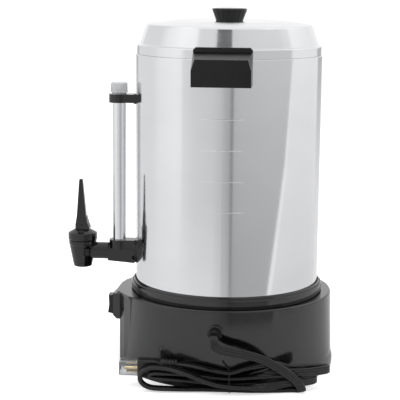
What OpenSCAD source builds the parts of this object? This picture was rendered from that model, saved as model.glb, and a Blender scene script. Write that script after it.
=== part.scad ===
// Percolating coffee urn: polished aluminium tank on a black moulded base, with side
// handles, a lift-off lid, a gauge glass in a slotted shield and a lever faucet.
// Millimetres. Origin on the tank's axis where the base stands; front (faucet) is -Y.

/* [Tank] */
// Outside diameter of the tank
tank_d = 260; // [240:1:284]
// Wall of the tank
tank_wall = 1.2; // [0.8:0.1:2]
// Height of the tank from its floor to its rolled rim
tank_h = 331.5; // [320:0.5:370]
// Width of the rolled rim at the mouth
rim_w = 3.4; // [2.8:0.1:5]
// Radius of the heating well in the floor
well_r = 24; // [21:0.5:30]
// Depth of the heating well
well_deep = 7; // [5:0.5:9]

/* [Base] */
// Height of the base's top face
base_h = 108; // [98:1:125]
// How far the base's top edge stands out past the tank
base_ledge = 19.6; // [17:0.2:24]
// How much wider the base gets towards its foot
base_draft = 2.2; // [1:0.2:3.4]
// Wall of the base
base_wall = 3; // [2.4:0.2:4]
// Height of the ring that carries the tank and the collar
seat_h = 2.5; // [2:0.5:4]
// Radius of the opening under the tank
base_mouth_r = 104; // [98:1:108]
// Width of the flat control front
front_w = 72; // [66:1:80]
// Sideways offset of the control front's centre from the faucet
front_x = 10; // [6:1:14]
// How far the flat control front stands in from the base's round top edge
front_in = 1.1; // [0.6:0.1:2]
// How far the visor stands out past the control front
visor_out = 5.5; // [4:0.5:8]
// Thickness of the visor
visor_t = 4; // [3.4:0.2:5]
// Diameter of the posts that take the bottom screws
post_d = 12; // [10:0.5:13]

/* [Collar] */
// How far the collar ring stands out past the tank
collar_out = 6.4; // [5:0.2:9]
// Height of the collar ring
collar_h = 12.5; // [10:0.5:16]

/* [Lid] */
// Height of the lid's rim band
lid_band_h = 12; // [9:0.5:16]
// Height of the lid's crown above its rim band
lid_crown_h = 34; // [26:1:44]
// Radius of the flat plateau on the lid
lid_top_r = 75; // [60:1:84]
// Sheet thickness of the lid
lid_wall = 1.2; // [0.8:0.1:1.6]
// Top radius of the knob
knob_r = 24.5; // [22:0.5:30]
// Height of the knob
knob_h = 17; // [15:0.5:24]
// Number of flutes round the knob
knob_flutes = 18; // [12:1:22]

/* [Handles] */
// Width of each handle
handle_w = 78; // [66:1:90]
// How far the grip stands out from the tank
handle_out = 40; // [36:0.5:46]
// How far the grip's lower edge lies below the tank's rim
handle_drop = 33.5; // [31.5:0.5:47.5]
// Height of the grip's front panel
handle_h = 35.5; // [32:0.5:40]
// Wall of the handle moulding
handle_wall = 2.8; // [2.2:0.2:3.6]
// Thickness of the plate that lies against the tank
handle_plate = 6; // [5:0.5:8]

/* [Gauge] */
// Distance of the gauge's axis from the tank wall
gauge_out = 25.5; // [23:0.5:30]
// Outside diameter of the gauge shield
shield_d = 19; // [17:0.5:20]
// Outside diameter of the gauge glass
glass_d = 14; // [12:0.5:15]
// Width of the sight slot in the shield
slot_w = 7; // [5:0.5:9]
// Height of the gauge's top bracket above the tank's floor
bracket_up = 261; // [240:1:272]
// Thickness of the top bracket
bracket_h = 12; // [11:0.5:15]

/* [Faucet] */
// Height of the faucet arm's axis above the tank's floor
spigot_up = 45.5; // [43:0.5:52]
// Distance of the faucet's axis from the tank wall
faucet_out = 79; // [76:1:90]
// Outside diameter of the faucet arm
arm_d = 24; // [22:0.5:26]
// Bore of the water way
way_d = 15; // [13:0.5:15.5]
// Outside diameter of the bonnet
bonnet_d = 41.6; // [40:0.2:46]
// Outside diameter of the outlet
outlet_d = 26.4; // [25:0.2:30]
// Height of the lever above its pin
lever_h = 66; // [54:1:76]
// Diameter of the valve stem
stem_d = 6.4; // [5.6:0.2:7]
// Number of coils of the valve spring
spring_coils = 6; // [4:1:7]

/* [Percolator] */
// Outside diameter of the pump tube
pump_d = 13; // [11:0.5:15]
// Outside diameter of the coffee basket
basket_d = 190; // [160:1:206]
// Depth of the coffee basket
basket_h = 84; // [60:1:90]
// Gap from the tank's rim down to the basket's rim
basket_drop = 30; // [26:1:40]
// Number of holes in the outer ring of the strainers
strainer_n = 24; // [12:1:30]

/* [Switch and lamp] */
// Height of the switch bezel
bezel_h = 37; // [34:1:40]
// Width of the switch bezel
bezel_w = 24; // [22:0.5:26]
// How far the bezel stands out
bezel_out = 10.3; // [9:0.1:12]
// How far the rocker stands out past the bezel
rocker_out = 7.5; // [6:0.5:9]
// Radius of the lamp's chrome rim
lamp_r = 14; // [12:0.5:15]

/* [Cord] */
// Width of the flat cord
cord_w = 12; // [11:0.1:12.2]
// Thickness of the flat cord
cord_t = 5.6; // [5:0.1:5.8]

/* [Clearances] */
// Gap between a piece that moves and its seat
seat_gap = 0.3; // [0.25:0.05:0.4]
// Radial gap of a piece that fits in a socket
fit_gap = 0.1; // [0.05:0.01:0.15]
// Radial gap of a pin that turns or slides in its bore
run_gap = 0.07; // [0.04:0.01:0.1]

/* [Hidden] */
$fn = 96;

black = "#1b1b1d";
steel = "#c9ccd0";
alu = "#dfe1e3";

// Levels and radii that pieces share
tank_r = tank_d / 2;
tank_in = tank_r - tank_wall;
floor_z = base_h + seat_h;
rim_z = floor_z + tank_h;
mouth_r = tank_r - rim_w;
base_r = tank_r + base_ledge;
foot_r = base_r + base_draft;
lip_r = foot_r + 2;
lip_h = 14.5;
collar_r = tank_r + collar_out;
collar_in = tank_r + 1.2;
seat_r = tank_r + 3.8;
gauge_y = -(tank_r + gauge_out);
faucet_y = -(tank_r + faucet_out);
spigot_z = floor_z + spigot_up;
bracket_z = floor_z + bracket_up;
shield_r = shield_d / 2;
arm_r = arm_d / 2;
way_r = way_d / 2;
shank_r = way_r + 2;
screw_r = 2;

// Points along an arc in the plane
function arc(cx, cy, r, from, to, n = 6) =
    [for (i = [0:n]) let (a = from + (to - from) * i / n) [cx + r * cos(a), cy + r * sin(a)]];
function flip(list) = [for (i = [len(list) - 1:-1:0]) list[i]];

// A cylinder along -Y, from y towards the front
module front_rod(x, y, z, r, h, fn = 0) {
    translate([x, y, z]) rotate([90, 0, 0]) cylinder(r = r, h = h, $fn = fn > 0 ? fn : $fn);
}

// A pan-head screw from the origin: its shank along +Z, its slotted head below
module pan_screw(length, head_r = 4, head_h = 2.4) {
    difference() {
        union() {
            translate([0, 0, -head_h]) cylinder(r = head_r, h = head_h);
            cylinder(r = screw_r, h = length);
        }
        translate([-head_r - 1, -0.5, -head_h - 1]) cube([2 * head_r + 2, 1, 2.1]);
    }
}

module ring(x, y, z, r, hole, h) {
    translate([x, y, z]) difference() {
        cylinder(r = r, h = h);
        translate([0, 0, -1]) cylinder(r = hole, h = h + 2);
    }
}

// ---------------------------------------------------------------- tank and lid

tank_corner = 6;
stud_r = 2.5;
stud_at = base_mouth_r - 7;
stud_h = 12.5;
clip_angles = [30, 150, 270];
handle_screw_z = [rim_z - handle_drop + 6, rim_z - handle_drop + 20];

module tank() {
    c = tank_corner;
    w = tank_wall;
    z = floor_z;
    color(alu) {
        difference() {
            rotate_extrude() polygon(concat(
                [[0, z - well_deep], [well_r - 2, z - well_deep], [well_r, z - well_deep + 2],
                    [well_r, z]],
                arc(tank_r - c, z + c, c, -90, 0),
                arc(tank_r - 1, rim_z - 1, 1, 0, 90, 3),
                arc(mouth_r + 1, rim_z - 1, 1, 90, 180, 3),
                [[mouth_r, rim_z - 2.6], [tank_in, rim_z - 3.6]],
                arc(tank_r - c, z + c, c - w, 0, -90),
                [[well_r - w, z + w], [well_r - w, z - well_deep + w + 2],
                    [well_r - w - 2, z - well_deep + w], [0, z - well_deep + w]]));
            front_rod(0, 0, spigot_z, shank_r + fit_gap + 0.2, tank_r + 5);
            front_rod(0, 0, bracket_z + bracket_h / 2, screw_r + 0.2, tank_r + 5);
            for (side = [0, 180], up = handle_screw_z)
                rotate([0, 0, side]) translate([0, 0, up]) rotate([0, 90, 0])
                    cylinder(r = screw_r + 0.2, h = tank_r + 5);
        }
        for (a = clip_angles) rotate([0, 0, a])
            translate([stud_at, 0, z - stud_h]) cylinder(r = stud_r, h = stud_h + w / 2);
    }
}

lid_z = rim_z + seat_gap;
band_r = tank_r - 1.3;
plug_r = mouth_r - 0.6;
crown_z = lid_z + lid_band_h;
lid_top_z = crown_z + lid_crown_h;
shoulder_r = tank_r - 13.8;

// The lid's outer line from its centre to its lower edge, moved inwards by d
function lid_line(d) = concat(
    [[0, lid_top_z - d], [lid_top_r, lid_top_z - d]],
    [[shoulder_r - 3.7 - 0.3 * d, lid_top_z - 4.7 - d]],
    [[shoulder_r - 1 - 0.6 * d, lid_top_z - 5.6 - 0.8 * d]],
    [[shoulder_r - d, lid_top_z - 7.5 - 0.3 * d], [band_r - 5.1 - d, crown_z + 3.4 - 0.5 * d]],
    [[band_r - 4.6 - 0.7 * d, crown_z + 1.9 - 0.7 * d]],
    [[band_r - 3.6 - 0.3 * d, crown_z + 1.3 - d]],
    arc(band_r - 2.4, crown_z - 1.2, 2.4 - d, 82, 0));

module lid() {
    skirt = 6;
    color(alu)
    difference() {
        rotate_extrude() polygon(concat(
            lid_line(0),
            [[band_r, lid_z], [plug_r, lid_z], [plug_r, lid_z - skirt],
                [plug_r - lid_wall, lid_z - skirt], [plug_r - lid_wall, lid_z + lid_wall],
                [band_r - lid_wall, lid_z + lid_wall]],
            flip(lid_line(lid_wall))));
        translate([0, 0, lid_top_z - 5]) cylinder(r = screw_r + 0.2, h = 10);
    }
}

knob_flare = 5.7;
knob_low_r = knob_r - knob_flare;
module lid_knob() {
    z = lid_top_z;
    flute_r = 1.7;
    color(black)
    difference() {
        rotate_extrude() polygon(concat(
            [[0, z], [knob_low_r, z], [knob_r - 0.4, z + knob_h - 2.4]],
            arc(knob_r - 1.4, z + knob_h - 1.4, 1.4, 0, 90, 4),
            [[knob_r - 7, z + knob_h + 0.3], [0, z + knob_h + 0.8]]));
        for (i = [0:knob_flutes - 1])
            rotate([0, 0, i * 360 / knob_flutes])
                translate([knob_low_r + flute_r / 2, 0, z - 1])
                    rotate([0, atan(knob_flare / knob_h), 0]) cylinder(r = flute_r, h = knob_h - 1);
        translate([0, 0, z - 1]) cylinder(r = screw_r + fit_gap, h = 12);
    }
}

module knob_screw() {
    washer = 1;
    color(steel)
    translate([0, 0, lid_top_z - lid_wall - washer]) {
        pan_screw(10);
        cylinder(r = 8, h = washer);
    }
}

// ------------------------------------------------------------------------ base

front_y = base_r - front_in;
front_left = front_x - front_w / 2;
front_right = front_x + front_w / 2;
under_visor = base_h - visor_t;

// Plan of the control front from its left end round the near corner, moved in by d
function front_plan(d) = [
    [front_left + d, -60], [front_left + d, -front_y + d], [front_right - 0.3 * d, -front_y + d],
    [front_right + 16 - 0.8 * d, -front_y + 8.5 + 0.9 * d],
    [front_right + 32 - 0.8 * d, -front_y + 19.5 + 0.9 * d], [front_right + 32 - d, -60]];

// Plan of the visor over the controls
module visor_plan() {
    y = front_y + visor_out;
    corner = 18;
    polygon(concat(
        [[front_left - 16, -60], [front_left - 16, -y + 13], [front_left, -y + 5.6],
            [front_left + 20, -y + 1.5]],
        arc(front_right - 8, -y + corner, corner, -90, -38),
        [[front_right + 15, -y + 11.5], [front_right + 33, -y + 22.6],
            [front_right + 38, -y + 32], [front_right + 38, -60]]));
}

plate_z = 4;
plate_t = 1.5;
plate_r = foot_r - base_wall - 0.4;
post_r = post_d / 2;
post_at = base_r - base_wall - 3.4;
post_angles = [45, 135, 225, 330];
bezel_x = front_x + 21;
bezel_z = base_h - 5 - bezel_h;
lamp_x = front_x - 9;
lamp_z = base_h - 43.5;
gland_y = -5;
gland_z = base_h - 28.5;
gland_r = 7.6;

module base_outside() {
    z = base_h;
    rotate_extrude() polygon([[0, 0], [lip_r - 1.6, 0], [lip_r - 0.6, 1],
        [lip_r, 4], [lip_r, lip_h - 1.5], [foot_r + 0.6, lip_h + 1.5], [foot_r, lip_h + 3.5],
        [base_r, z - 2.2], [base_r - 0.7, z - 0.7], [base_r - 2.2, z], [seat_r, z],
        [seat_r, floor_z], [0, floor_z]]);
}

module base_shell() {
    z = base_h;
    w = base_wall;
    color(black)
    difference() {
        union() {
            difference() {
                union() {
                    base_outside();
                    linear_extrude(z - visor_t / 2) polygon(front_plan(0));
                }
                // flat control front below the visor
                translate([-tank_r, -front_y - 40, -1])
                    cube([tank_r + front_right, 40, under_visor + 1]);
                // inside
                rotate_extrude() polygon([[0, -1], [foot_r - w, -1], [foot_r - w, lip_h + 3],
                    [base_r - w, z - w], [0, z - w]]);
                translate([0, 0, -1]) linear_extrude(z - w + 1) polygon(front_plan(w));
            }
            // front wall
            intersection() {
                translate([-50, -front_y, 0]) cube([50 + front_right - 1, w, z - 1]);
                union() {
                    base_outside();
                    linear_extrude(z) polygon(front_plan(0));
                }
            }
            translate([0, 0, under_visor]) difference() {
                linear_extrude(visor_t) visor_plan();
                translate([0, 0, -1]) cylinder(r = tank_r, h = visor_t + 2);
            }
            for (a = post_angles) rotate([0, 0, a])
                translate([post_at, 0, plate_z + plate_t]) cylinder(r = post_r, h = z - w - 4);
        }
        translate([0, 0, z - w - 1]) cylinder(r = base_mouth_r, h = w + seat_h + 3);
        for (a = post_angles) rotate([0, 0, a])
            translate([post_at, 0, 0]) cylinder(r = screw_r + fit_gap, h = 18);
        // cut-outs for the switch, the lamp and the cord, and the notch in the visor
        translate([bezel_x - bezel_w / 2 + 2, -front_y - 5, bezel_z + 3])
            cube([bezel_w - 4, 14, bezel_h - 6]);
        front_rod(lamp_x, -front_y + 9, lamp_z, lamp_r - 6, 20);
        translate([base_r - 12, gland_y, gland_z]) rotate([0, 90, 0])
            cylinder(r = gland_r + fit_gap, h = 30);
        translate([front_right + 16, -front_y - visor_out + 11, under_visor - 1])
            cylinder(r = 1.4, h = visor_t + 2);
    }
}

module bottom_plate() {
    color(steel)
    difference() {
        intersection() {
            translate([0, 0, plate_z]) cylinder(r = plate_r, h = plate_t);
            translate([-200, -front_y + base_wall + 0.4, 0]) cube([400, 400, 20]);
        }
        for (a = post_angles) rotate([0, 0, a])
            translate([post_at, 0, 0]) cylinder(r = screw_r + 0.3, h = 20);
        // louvres that let warm air through
        for (i = [-3:3]) translate([-28, i * 12 - 2, 0]) cube([56, 4, 20]);
    }
}

module bottom_screws() {
    color(steel)
    for (a = post_angles) rotate([0, 0, a])
        translate([post_at, 0, plate_z]) pan_screw(12, 3.8, 2.2);
}

clip_t = 2;
clip_z = base_h - base_wall - clip_t;
module tank_clips() {
    color(steel)
    for (a = clip_angles) rotate([0, 0, a]) difference() {
        translate([stud_at - 9, -8, clip_z]) cube([24, 16, clip_t]);
        translate([stud_at, 0, clip_z - 1]) cylinder(r = stud_r + 0.2, h = clip_t + 2);
    }
}

module clip_nuts() {
    nut_t = 4;
    color(steel)
    for (a = clip_angles) rotate([0, 0, a]) translate([stud_at, 0, clip_z - nut_t])
        difference() {
            cylinder(r = 5, h = nut_t, $fn = 6);
            translate([0, 0, -1]) cylinder(r = stud_r + 0.05, h = nut_t + 2);
        }
}

element_r = 62;
element_wire = 4;
element_gap = 24;
element_z = floor_z - element_wire;
pin_low = element_z - 38;

module heating_element() {
    color("#8d8a86")
    translate([0, 0, element_z]) {
        rotate([0, 0, 90 + element_gap / 2]) rotate_extrude(angle = 360 - element_gap)
            translate([element_r, 0]) circle(r = element_wire, $fn = 32);
        for (side = [-1, 1]) rotate([0, 0, 90 + side * element_gap / 2])
            translate([element_r, 0, 0]) {
                translate([0, 0, -30]) cylinder(r = element_wire + 0.5, h = 33.6);
                translate([0, 0, pin_low - element_z]) cylinder(r = 1.6, h = 9);
            }
    }
}

module element_clamps() {
    t = 1.2;
    low = element_z - element_wire - t;
    color(steel)
    for (a = [-90, 30, 150]) rotate([0, 0, a]) translate([element_r, 0, 0]) {
        difference() {
            translate([-8, -5, low]) cube([16, 10, floor_z - low]);
            translate([-8 + t, -6, low + t]) cube([16 - 2 * t, 12, 20]);
        }
        for (side = [-1, 1])
            translate([side * 10.6 - 3, -5, floor_z - t]) cube([6, 10, t]);
    }
}

thermostat_y = -36;
thermostat_h = 10;
module thermostat() {
    color("#e8e2d0")
    translate([0, thermostat_y, floor_z - thermostat_h]) {
        cylinder(r = 8, h = thermostat_h);
        translate([0, 0, thermostat_h - 2]) cylinder(r = 10, h = 2);
        for (x = [-5, 5]) translate([x - 0.4, -3, -6]) cube([0.8, 6, 7]);
    }
}

fuse_x = -42;
fuse_r = 2.5;
module thermal_fuse() {
    color("#d9d4c8")
    translate([fuse_x, 0, floor_z - fuse_r]) {
        rotate([90, 0, 0]) cylinder(r = fuse_r, h = 14, center = true);
        rotate([90, 0, 0]) cylinder(r = 0.6, h = 24, center = true);
        translate([-4, -2.5, -fuse_r - 1]) cube([8, 5, 2 * fuse_r + 1]);
    }
}

block_x = 98;
block_h = 14;
terminals = [-13, 0, 13];
module terminal_block() {
    z = plate_z + plate_t;
    color("#ece7da")
    difference() {
        translate([block_x - 14, gland_y - 20, z]) cube([28, 40, block_h]);
        for (y = terminals, x = [-7, 7])
            translate([block_x + x, gland_y + y, z + 5]) cylinder(r = 2.4, h = block_h);
        for (y = [-6.5, 6.5])
            translate([block_x - 15, gland_y + y - 0.8, z + 8]) cube([30, 1.6, block_h]);
    }
}

// --------------------------------------------------------------------- handles

handle_z = rim_z - handle_drop;
handle_top = handle_z + handle_h;
plate_x = tank_r + handle_plate;
handle_crease = handle_z + 21;
handle_back_top = handle_top + 14;

// Side profile of the grip's hood (distance from the tank's axis, height), moved in by d
function handle_side(d) = [
    [plate_x - 20, handle_top + 8 - d], [plate_x + 1, handle_top + 8 - d],
    [tank_r + handle_out - 2 - d, handle_top - d], [tank_r + handle_out - d, handle_crease],
    [tank_r + handle_out - 2 - d, handle_z - 1], [plate_x - 20, handle_z - 1]];

// The hood, its end corners bevelled above the crease
module handle_hood(d) {
    half = handle_w / 2;
    difference() {
        translate([0, half - d, 0]) rotate([90, 0, 0])
            linear_extrude(2 * half - 2 * d) polygon(handle_side(d));
        for (m = [0, 1]) mirror([0, m, 0])
            translate([tank_r + handle_out, half, handle_crease]) rotate([18.4, 0, -12.7])
                translate([-100, -d, -60]) cube([140, 20, 120]);
    }
}

module handle_body() {
    half = handle_w / 2;
    chamfer = 4.5;
    difference() {
        union() {
            difference() {
                handle_hood(0);
                // hollow for the fingers
                intersection() {
                    handle_hood(handle_wall);
                    translate([plate_x, -half, 0]) cube([60, handle_w, handle_top + 20]);
                }
            }
            // the plate against the tank, higher than the hood
            translate([plate_x - 20, -half, handle_z])
                cube([20, handle_w, handle_back_top - handle_z]);
        }
        translate([0, -half - 1, handle_z - 10]) cube([250, handle_w + 2, 10]);
        translate([0, 0, handle_z - 1]) cylinder(r = tank_r, h = handle_h + 30);
        for (side = [-1, 1])
            translate([plate_x - 30, side * half, handle_back_top]) rotate([45, 0, 0])
                cube([80, chamfer, chamfer], center = true);
        for (up = handle_screw_z) translate([tank_r - 10, 0, up]) rotate([0, 90, 0])
            cylinder(r = screw_r + fit_gap, h = handle_plate + 9.2);
    }
}

module handle_right() {
    color(black) handle_body();
}

module handle_left() {
    color(black) rotate([0, 0, 180]) handle_body();
}

module handle_screws() {
    color(steel)
    for (side = [0, 180], up = handle_screw_z)
        rotate([0, 0, side]) translate([tank_in - 0.1, 0, up]) rotate([0, 90, 0])
            pan_screw(handle_plate - 0.6);
}

// ----------------------------------------------------------------------- gauge

socket_r = shield_r + 5;
bracket_top = bracket_z + bracket_h;
cap_thread = 4;
seal_t = 2;
shield_low = spigot_z + shank_r + 1.5;
shield_top = bracket_top - cap_thread - seal_t;
glass_r = glass_d / 2;
glass_bore = glass_r - 1.5;
glass_low = shield_low + seal_t;

module gauge_bracket() {
    half = 11;
    color(black)
    difference() {
        union() {
            translate([0, gauge_y, bracket_z]) cylinder(r = socket_r, h = bracket_h);
            translate([-half, gauge_y, bracket_z]) cube([2 * half, gauge_out + 10, bracket_h]);
            translate([-half - 2, -tank_r - 3, bracket_z - 1])
                cube([2 * half + 4, 12, bracket_h + 2]);
        }
        translate([0, 0, bracket_z - 2]) cylinder(r = tank_r, h = bracket_h + 4);
        translate([0, gauge_y, bracket_z - 1]) cylinder(r = shield_r + fit_gap, h = bracket_h + 2);
        translate([0, gauge_y, bracket_top - cap_thread - seal_t])
            cylinder(r = shield_r + 0.6, h = 20);
        front_rod(0, -tank_r + 5, bracket_z + bracket_h / 2, screw_r + fit_gap, 14);
    }
}

module bracket_screw() {
    color(steel)
    translate([0, -tank_in + 0.1, bracket_z + bracket_h / 2]) rotate([90, 0, 0]) pan_screw(8);
}

module gauge_shield() {
    wall = 1;
    slot_low = spigot_z + 29;
    slot_top = bracket_z - 6;
    color(alu)
    difference() {
        ring(0, gauge_y, shield_low, shield_r, shield_r - wall, shield_top - shield_low);
        translate([-slot_w / 2, gauge_y - shield_r - 1, slot_low])
            cube([slot_w, shield_r, slot_top - slot_low]);
    }
}

module gauge_glass() {
    color("#cfe3e8", 0.4) ring(0, gauge_y, glass_low, glass_r, glass_bore, shield_top - glass_low);
}

module gauge_seals() {
    color("#3a3a3c") {
        ring(0, gauge_y, shield_low, shield_r - 1 - fit_gap, glass_bore, seal_t);
        ring(0, gauge_y, shield_top, shield_r + 0.4, glass_bore, seal_t);
    }
}

module gauge_cap() {
    z = bracket_top;
    grip_z = z + 4.8;
    grip_r = shield_r + 2.9;
    grip_h = 11.6;
    color(steel)
    difference() {
        union() {
            translate([0, gauge_y, z - cap_thread]) cylinder(r = shield_r + 0.5, h = cap_thread);
            translate([0, gauge_y, z]) rotate_extrude() polygon([[0, 0], [shield_r + 1, 0],
                [shield_r + 1, 2.6], [shield_r + 3.1, 2.8], [shield_r + 3.1, 4.6],
                [shield_r + 1.6, 4.8], [0, 4.8]]);
            intersection() {
                translate([0, gauge_y, grip_z]) rotate([0, 0, 22.5])
                    cylinder(r = grip_r, h = grip_h, $fn = 8);
                translate([0, gauge_y, grip_z]) rotate_extrude() polygon([[0, 0],
                    [grip_r - 0.5, 0], [grip_r - 0.5, grip_h - 1.6], [grip_r - 2.4, grip_h], [0, grip_h]]);
            }
        }
        // vent from the glass to the side
        translate([0, gauge_y, z - cap_thread - 1]) cylinder(r = 3, h = cap_thread + 11);
        front_rod(0, gauge_y + 20, grip_z + 3.4, 0.9, 40);
    }
}

// ---------------------------------------------------------------------- faucet

gasket_out = 2.2;
block_seat = tank_r + gasket_out;
gasket_r = 16;
block_low = spigot_z - 15.2;
block_top = spigot_z + 17.6;
arm_washer = 1.5;
block_front = gauge_y - socket_r - 0.6;
arm_start = -block_front + arm_washer;
nut_r = gasket_r - 1;
nut_h = 8;
nut_y = -sqrt(tank_in * tank_in - nut_r * nut_r) + 1.5;

module spigot_block() {
    half = 12.5;
    mid = spigot_z + 5.5;
    color(black)
    difference() {
        union() {
            // socket of the gauge, and the body round the shank
            translate([0, gauge_y, mid - 1]) cylinder(r = socket_r, h = block_top - mid + 1);
            translate([-half + 1, gauge_y, mid - 1])
                cube([2 * half - 2, -block_seat - gauge_y, block_top - mid + 1]);
            translate([-half, 0, 0]) rotate([90, 0, 90]) linear_extrude(2 * half) polygon([
                [-block_seat, block_low], [block_front, block_low + 3.1],
                [block_front, mid], [-block_seat, mid]]);
            front_rod(0, -block_seat, spigot_z, gasket_r, 3);
        }
        front_rod(0, 0, spigot_z, shank_r + fit_gap, -block_front + 5);
        translate([0, gauge_y, spigot_z]) cylinder(r = glass_bore, h = 12);
        translate([0, gauge_y, shield_low]) cylinder(r = shield_r + fit_gap, h = 30);
    }
}

module spigot_gaskets() {
    color("#3a3a3c") difference() {
        union() {
            // outside, between the tank and the block
            difference() {
                front_rod(0, -tank_r + 8, spigot_z, gasket_r, 8 + gasket_out);
                translate([0, 0, spigot_z - 30]) cylinder(r = tank_r, h = 60);
            }
            // inside, under the nut
            intersection() {
                front_rod(0, nut_y, spigot_z, nut_r, 6);
                translate([0, 0, spigot_z - 30]) cylinder(r = tank_in, h = 60);
            }
            // between the block and the faucet's shoulder
            front_rod(0, block_front, spigot_z, arm_r, arm_washer);
        }
        front_rod(0, 0, spigot_z, shank_r + fit_gap, -faucet_y);
    }
}

module spigot_nut() {
    color(steel)
    difference() {
        front_rod(0, nut_y + nut_h, spigot_z, nut_r, nut_h, 6);
        front_rod(0, 0, spigot_z, shank_r + 0.04, -faucet_y);
    }
}

cup_low = spigot_z - 23;
cup_top = spigot_z + 16;
neck_top = cup_top + 8;
cup_r = bonnet_d / 2 - 0.9;
neck_r = cup_r - 2.4;
chamber_r = 14;
seat_low = spigot_z - 13.5;
seat_r_low = 8.5;
seat_top = seat_low + chamber_r - seat_r_low;

module faucet_body() {
    lug = 7;
    shank_end = tank_in - 12.8;
    color(black)
    difference() {
        union() {
            // cup with its outlet
            translate([0, faucet_y, 0]) rotate_extrude() polygon([[0, cup_low],
                [outlet_d / 2 - 1, cup_low], [outlet_d / 2, cup_low + 1],
                [cup_r - 0.6, cup_top - 7], [cup_r, cup_top - 6], [cup_r, cup_top - 1],
                [cup_r - 1, cup_top],
                [neck_r, cup_top], [neck_r, neck_top], [0, neck_top]]);
            // arm, shoulder and threaded shank
            front_rod(0, -arm_start, spigot_z, arm_r, -faucet_y - arm_start - 5);
            front_rod(0, -shank_end, spigot_z, shank_r, arm_start - shank_end + 1);
            // square lug on the cup's side
            translate([0, faucet_y, spigot_z]) rotate([0, 0, 25])
                translate([cup_r - 4, -lug / 2, -5]) cube([5.4, lug, 10]);
        }
        translate([0, faucet_y, 0]) rotate_extrude() polygon([[0, cup_low - 1],
            [10.4, cup_low - 1], [10.4, cup_low + 0.6], [seat_r_low, cup_low + 5],
            [seat_r_low, seat_low], [chamber_r, seat_top], [chamber_r, neck_top + 1],
            [0, neck_top + 1]]);
        front_rod(0, 0, spigot_z, way_r, -faucet_y - 6);
        // way up into the gauge
        translate([0, gauge_y, spigot_z]) cylinder(r = glass_bore - 0.5, h = 20);
    }
}

bonnet_r = bonnet_d / 2;
bonnet_low = cup_top + seat_gap;
bonnet_top = neck_top + 7.5;
stem_r = stem_d / 2;
module faucet_bonnet() {
    color(black)
    difference() {
        translate([0, faucet_y, 0]) rotate_extrude() polygon([[0, bonnet_low],
            [bonnet_r - 0.6, bonnet_low], [bonnet_r, bonnet_low + 0.8],
            [bonnet_r, neck_top + 1.6], [bonnet_r - 1, neck_top + 2.6],
            [11.6, bonnet_top - 0.4], [11, bonnet_top], [0, bonnet_top]]);
        translate([0, faucet_y, bonnet_low - 1])
            cylinder(r = neck_r + fit_gap, h = neck_top - bonnet_low + 1);
        translate([0, faucet_y, neck_top - 1]) cylinder(r = stem_r + run_gap, h = 20);
        // notches in the cone at both sides
        for (side = [0, 180]) translate([0, faucet_y, neck_top + 2.6]) rotate([0, 0, side])
            translate([13, -4, 0]) cube([20, 8, 10]);
    }
}

pin_z = bonnet_top + 6.5;
lever_pin_r = 1.2;
lever_low = bonnet_top + seat_gap;
lever_top = pin_z + lever_h;
lever_half = 8;

// Side profile of the lever: (distance towards +Y from the faucet's axis, height)
function lever_side() = [
    [-9.5, lever_low], [10.5, lever_low], [10.5, lever_low + 2.7], [8.5, pin_z + 1.5],
    [6.4, pin_z + 8.8], [7.4, pin_z + 10.2], [5.2, pin_z + 12.6],
    [0.4, lever_top - 1], [-0.6, lever_top], [-3.4, lever_top], [-4.4, lever_top - 1],
    [-8.2, pin_z + 9], [-9.5, pin_z]];

module faucet_lever() {
    slot = stem_r + 0.2;
    color(black)
    difference() {
        intersection() {
            translate([-lever_half, faucet_y, 0]) rotate([90, 0, 90])
                linear_extrude(2 * lever_half) polygon(lever_side());
            translate([0, faucet_y + 20, 0]) rotate([90, 0, 0]) linear_extrude(40) polygon([
                [-lever_half, lever_low - 1], [lever_half, lever_low - 1],
                [lever_half, pin_z + 5], [4.6, pin_z + 14], [2.6, lever_top + 1],
                [-2.6, lever_top + 1], [-4.6, pin_z + 14], [-lever_half, pin_z + 5]]);
        }
        // room for the stem's head while the lever tips
        translate([-slot, faucet_y - 8.6, lever_low - 1])
            cube([2 * slot, 13.6, pin_z - lever_low + 6.8]);
        translate([-20, faucet_y, pin_z]) rotate([0, 90, 0])
            cylinder(r = lever_pin_r + 0.02, h = 40);
    }
}

module lever_pin() {
    color(steel)
    translate([-lever_half + 0.2, faucet_y, pin_z]) rotate([0, 90, 0])
        cylinder(r = lever_pin_r, h = 2 * lever_half - 0.4);
}

stem_low = seat_low + 4.5;
collar_z = spigot_z + 2;
module valve_stem() {
    color(steel)
    difference() {
        union() {
            translate([0, faucet_y, stem_low]) cylinder(r = stem_r, h = pin_z + 3.2 - stem_low);
            translate([0, faucet_y, collar_z]) cylinder(r = stem_r + 2.8, h = 2);
        }
        translate([-20, faucet_y, pin_z]) rotate([0, 90, 0])
            cylinder(r = lever_pin_r + run_gap, h = 40);
    }
}

module valve_cup() {
    // its cone lies parallel to the seat, seat_gap away
    lift = seat_gap * sqrt(2);
    color("#e9e6df")
    difference() {
        translate([0, faucet_y, 0]) rotate_extrude() polygon([[0, seat_low - 3.2],
            [5, seat_low - 3.2], [6, seat_low - 2.5 + lift], [12.5, seat_low + 4 + lift],
            [12.5, seat_low + 7], [8, seat_low + 9.5], [stem_r + 2.4, collar_z - 2],
            [stem_r + 2.4, collar_z], [0, collar_z]]);
        translate([0, faucet_y, stem_low]) cylinder(r = stem_r + 0.04, h = 30);
    }
}

spring_low = collar_z + 2;
spring_top = neck_top;
module valve_spring() {
    wire = 0.6;
    r = stem_r + 1.5;
    steps = 14;
    n = spring_coils * steps;
    h = spring_top - spring_low - 2 * wire;
    route = [for (i = [0:n]) let (a = 360 * i / steps)
        [r * cos(a), faucet_y + r * sin(a), spring_low + wire + h * i / n]];
    color(steel) tube(route, [for (p = route) [0, 0, 1]], round_section(wire, 6));
}

// ------------------------------------------------------------------ percolator

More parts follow.
